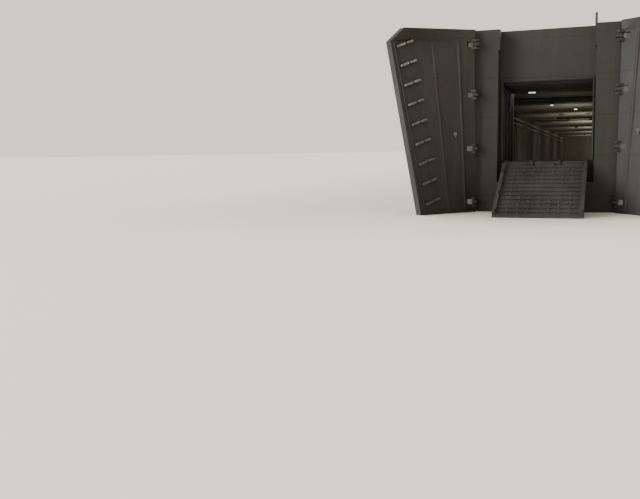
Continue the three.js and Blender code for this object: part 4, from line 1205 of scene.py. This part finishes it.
# Columns: along the boat, half-breadth, rise of the gunwale
FENDER_LINE = ((-5.46, 1.46, 0.0), (-2.5, 1.58, 0.0), (2.5, 1.58, 0.05), (4.6, 1.39, 0.28),
               (5.46, 1.14, 0.38))
for side_name, side in SIDES.items():
    body, middle = f"boat_{side_name}_body", side * BOAT_Y
    loop = [(BOAT_X + dx, middle + half, GUNWALE - 0.06 + rise) for dx, half, rise in FENDER_LINE]
    loop += [(x, 2 * middle - y, z) for x, y, z in reversed(loop)]
    grow(moulding, f"boat_fender_{side_name}", path=loop, closed=True, Radius=0.075, Sides=8,
         body=body, slot="boat_paint", finish="rope", smooth=True)
    for name, edge in (("inboard", -1), ("outboard", 1)):
        grow(bars, f"boat_ribs_{name}_{side_name}", Count=13, Step=(0.55, 0, 0),
             First=(BOAT_X - 3.3, middle + edge * 1.41, 9.74), Size=(0.08, 0.1, 0.72),
             body=body, slot="boat_paint")
    engine_box = [(*slab(BOAT_X - 3.025, middle, 0.475, 0.6, BOAT_FLOOR, 9.75), 0.06),
                  (*slab(BOAT_X - 3.025, middle, 0.425, 0.5, 9.74, 9.8), 0.03)]
    ramp_ribs = [slab(BOAT_X + 5.43, middle + dy, 0.06, 0.05, 9.45, 10.5)
                 for dy in (-0.9, -0.45, 0.0, 0.45, 0.9)]
    aft_deck = [slab(BOAT_X - 4.55, middle, 0.85, 1.3, GUNWALE + 0.03, GUNWALE + 0.09)]
    fittings(f"boat_engine_box_and_bitts_{side_name}", boxes=engine_box + ramp_ribs + aft_deck,
             rods=[((BOAT_X + dx, middle + dy, GUNWALE + 0.05),
                    (BOAT_X + dx, middle + dy, GUNWALE + 0.28), 0.06)
                   for dx in (-4.9, -4.0) for dy in (-1.1, 1.1)], body=body, slot="boat_paint")
    wheel = (WHEEL_X, middle + 0.9, WHEEL_Z)
    grow(rings, f"boat_wheel_{side_name}", [wheel], Radius=0.24, Rim=0.025, Sides=16,
         Turn=(0, math.radians(72), 0), body=body)
    fittings(f"boat_helm_{side_name}", rods=[((WHEEL_X - 0.12, middle + 0.9, 9.3), wheel, 0.05)],
             boxes=[slab(WHEEL_X - 0.08, middle + 0.9, 0.08, 0.25, 9.25, 9.75)], body=body,
             slot="boat_paint")
print("boats fitted")

# %% Davit sheaves, flanges and boat winches
DAVIT_FOOT, DAVIT_HEAD = 7.15, 5.95
for side_name, side in SIDES.items():
    body = f"davit_{side_name}_body"
    grow(rings, f"davit_sheaves_{side_name}", Radius=0.15, Rim=0.05, Sides=16, Turn=END_TURN,
         body=body, points=[(BOAT_X + dx, side * DAVIT_HEAD, 11.75)
                            for dx in (-4.35, -3.05, 3.05, 4.35)])
    # Columns: distance from the middle line and height, up the bent arm
    arm = [(side * (DAVIT_FOOT + dy), z) for dy, z in ((0.17, 8.2), (0.27, 9.6), (-0.62, 11.5))]
    fittings(f"davit_flanges_{side_name}", body=body, pipes=[
        ([(BOAT_X + end + dx, y, z) for y, z in arm], 0.035)
        for end in (-5.9, 5.9) for dx in (-0.15, 0.15)])
    winches, drums = [], []
    for x in (BOAT_X - 4.6, BOAT_X + 4.6):
        y, axle = side * 7.05, DECK_TOP + 0.42
        winches.append(slab(x, y, 0.4, 0.22, DECK_TOP, DECK_TOP + 0.14))
        winches += [slab(x + dx, y, 0.05, 0.2, DECK_TOP + 0.1, DECK_TOP + 0.62)
                    for dx in (-0.33, 0.33)]
        drums.append(((x - 0.3, y, axle), (x + 0.3, y, axle), 0.16))
    fittings(f"boat_winches_{side_name}", boxes=winches, rods=drums, bevel=0.03)
print("davits fitted")

# %% [markdown]
# ## Platforms, windlass and stern gear
# The round platforms stand empty, each with the ring of bolts that a mounting would sit on. The
# windlass hauls the bow anchors' chains, and the stern winch hauls the wire that pulls the ship
# off the ground again.

# %% Platform rims and mounting rings
# Columns: name, x, y, floor of the tub, radius, height of its wall
TUBS = [
    ("bow", 39.5, 0, 9.45, 2.0, 0.95),
    ("forward_port", 30, 5.0, 8.72, 1.5, 0.95), ("forward_starboard", 30, -5.0, 8.72, 1.5, 0.95),
    ("stern_port", -45.2, 4.4, 9.22, 1.7, 0.95), ("stern_starboard", -45.2, -4.4, 9.22, 1.7, 0.95),
    ("conning", -29.5, 0, 12.55, 1.7, 1.1)]
for name, x, y, floor, radius, wall in TUBS:
    grow(rings, f"tub_rim_{name}", [(x, y, floor + wall)], Radius=radius - 0.06, Rim=0.075,
         Sides=40, slot="house_paint", smooth=True)
    if name != "conning":
        grow(rings, f"mounting_ring_{name}", [(x, y, floor + 0.02)], Radius=0.5, Rim=0.06, Sides=28)
        grow(studs, f"mounting_bolts_{name}", circle_of(12, 0.38, x, y, floor + 0.04),
             Radius=0.045, Height=0.1, Sides=6)
print("platforms:", len(TUBS))

# %% Windlass chains, deck pipes and hawse holes
HAWSE_X, HAWSE_HEIGHT, HAWSE_FLARE = 43.9, 7.5, 26
for side_name, side in SIDES.items():
    pipe_x, pipe_y, pipe_z = 44.9, side * 2.95, 8.82
    grow(chain, f"anchor_chain_{side_name}", Link=0.34, Wire=0.04, path=[
        (43.62, side * 1.6, 9.83), (43.95, side * 1.68, 9.72), (44.3, side * 2.1, 9.2),
        (pipe_x, pipe_y, pipe_z)])
    grow(rings, f"deck_pipe_{side_name}", [(pipe_x, pipe_y, pipe_z - 0.03)], Radius=0.26, Rim=0.08,
         Sides=20, smooth=True)
    hawse = [side_point(HAWSE_X, HAWSE_HEIGHT, side)]
    flared = (math.radians(90), 0, math.radians(-side * HAWSE_FLARE))
    grow(rings, f"hawse_rim_{side_name}", hawse, Radius=0.34, Rim=0.09, Sides=22, Turn=flared,
         slot="hull_paint", smooth=True)
    # A dark disc inside the rim is painted shade, standing for the dark inside of the hawse pipe.
    grow(studs, f"hawse_shade_disc_{side_name}", hawse, Radius=0.33, Height=0.06, Sides=22, Turn=flared,
         finish="rubber_and_hole_shade")
print("chains laid")

# %% Stern winch wire, anchor cable, shackle and roller
DRUM_X, DRUM_Z, WIRE_TURNS = -45.6, DECK_TOP + 0.953, 25
wire_turns = [(DRUM_X, -1.02 + 0.085 * i, DRUM_Z) for i in range(WIRE_TURNS)]
grow(rings, "stern_wire_turns", wire_turns, Radius=0.58, Rim=0.045, Sides=28, Turn=SIDE_TURN,
     finish="bare_steel", smooth=True)
grow(moulding, "stern_cable", Radius=0.05, Sides=8, finish="bare_steel", smooth=True, path=[
    (-45.75, 0.1, 9.22), (-47.5, 0.05, 8.75), (-49.6, 0, 7.95), (-49.95, 0, 7.75), (-50.1, 0, 7.4)])
grow(rings, "stern_anchor_shackle", [(-50.12, 0, 7.3)], Radius=0.16, Rim=0.05, Sides=14,
     Turn=SIDE_TURN, smooth=True)
ROLLER_X, ROLLER_Z = -49.65, DECK_TOP + 0.16
fittings("stern_roller", rods=[((ROLLER_X, -0.3, ROLLER_Z), (ROLLER_X, 0.3, ROLLER_Z), 0.1)],
         boxes=[slab(ROLLER_X, y, 0.3, 0.1, DECK_TOP, DECK_TOP + 0.3) for y in (-0.35, 0.35)])
print("turns of wire:", WIRE_TURNS)

# %% [markdown]
# ## Under the stern
# The rudders are hollow plates over ribs, whose edges show as weld lines, and zinc blocks on the
# skegs waste away in place of the steel. The propeller nuts and shaft bands finish the parts
# that stay hidden afloat.

# %% Rudder ribs, zincs, shaft bands and propeller nuts
SHAFT_Y, SHAFT_Z = 2.9, 1.36
for side_name, side in SIDES.items():
    y = side * SHAFT_Y
    fittings(f"rudder_ribs_{side_name}", bevel=0.015, body=f"rudder_{side_name}_body",
             slot="hull_paint", boxes=[slab(-48.125, y, 0.725, 0.125, z - 0.03, z + 0.03)
                                       for z in (0.85, 1.4, 1.95)])
    grow(rings, f"shaft_bands_{side_name}", [(x, y, SHAFT_Z) for x in (-45.5, -44.6, -43.2)],
         Radius=0.35, Rim=0.04, Sides=20, Turn=END_TURN, slot="hull_paint")
    fittings(f"skeg_zincs_{side_name}", bevel=0.03, finish="bare_steel", boxes=[
        slab(x, y + edge * 0.26, 0.25, 0.05, 0.75, 0.92) for x in (-41.5, -43.0)
        for edge in (-1, 1)])
    fittings(f"propeller_nut_{side_name}", body=f"propeller_{side_name}_body", slot="bronze",
             rods=[((-46.72, y, SHAFT_Z), (-46.64, y, SHAFT_Z), 0.11)])
print("underwater fittings ready")

# %% [markdown]
# ## Floor and light
# A pale floor lies at the waterline, and the light is that of a bright overcast day. In the
# photo the brightest sky is behind the ship, the port side is in its own shade, and the face of
# the starboard door catches light from ahead. So one wide source stands behind to starboard, a
# softer one aft to port, a low one ahead to starboard that grazes that door, and the surround
# fills in the rest. Small lamps in the hall stand for the ship's own lighting.

# %% Floor
FLOOR_REACH = 150.0
corners = [Vector((x * FLOOR_REACH, y * FLOOR_REACH, 0))
           for x, y in ((-1, -1), (1, -1), (1, 1), (-1, 1))]
floor_mesh = bpy.data.meshes.new("floor")
floor_mesh.from_pydata([waterline @ corner for corner in corners], [], [(0, 1, 2, 3)])
floor = linked("floor", floor_mesh)
floor_finish, floor_tree, floor_shader = blank_material("floor_pale")
fill(floor_tree, floor_shader, {"Base Color": (0.82, 0.80, 0.69, 1), "Roughness": 0.85})
floor_mesh.materials.append(floor_finish)
print("floor at the waterline")

# %% Sky
SURROUND, BACKDROP = 0.78, 1.26
world = bpy.data.worlds.new("overcast")
bpy.context.scene.world = world
world.use_nodes = True
seen = add_node(world.node_tree, "ShaderNodeLightPath", out="Is Camera Ray")
fill(world.node_tree, world.node_tree.nodes["Background"], {
    "Color": (1.0, 0.955, 0.79, 1),
    "Strength": add_node(world.node_tree, "ShaderNodeMapRange", {
        "Value": seen, "To Min": SURROUND, "To Max": BACKDROP})})
print("sky set")

# %% Light
WARM = (1.0, 0.94, 0.74)
LAMP_HEIGHT, LAMP_LINE = 5.7, 0.5
# Columns: name, energy, from, towards, spread in degrees
SOFT_SUNS = (("soft_key", 1.7, (-50, -62, 70), (0, 0, 10), 25),
             ("soft_side", 2.8, (-48, 78, 42), (0, 0, 6), 50),
             ("side_fill", 4.1, (77, -48, 24), (46, 4, 6), 50))
# Columns: x, energy
HALL_LIGHTS = ((-32, 20.0), (-19, 20.0), (-6, 20.0), (7, 20.0), (20, 18.0), (30, 11.0), (40, 3.5))


def soft_light(name, kind, energy, place, towards, glossy=True, **settings):
    """A light at a place, turned towards another."""
    data = bpy.data.lights.new(name, kind)
    data.energy = energy
    for key, value in settings.items():
        setattr(data, key, value)
    light = linked(name, data)
    light.location = ship(*place)
    light.visible_camera = False
    light.visible_glossy = glossy
    light.rotation_euler = (Vector(towards) - Vector(place)).to_track_quat("-Z", "Y").to_euler()


for name, energy, place, towards, spread in SOFT_SUNS:
    soft_light(name, "SUN", energy, place, towards, angle=math.radians(spread))
for x, energy in HALL_LIGHTS:
    soft_light(f"hall_light_{x}", "POINT", energy, (x, LAMP_LINE, LAMP_HEIGHT), (x, LAMP_LINE, 0),
               glossy=False, shadow_soft_size=0.15, color=WARM)
for x, y, z, half in LIT_LAMPS:
    soft_light(f"lamp_light_{x:.0f}", "AREA", 1.0, (x, y, z - 0.1), (x, y, 0), size=0.3)
print("lights:", len(SOFT_SUNS) + len(HALL_LIGHTS) + len(LIT_LAMPS))
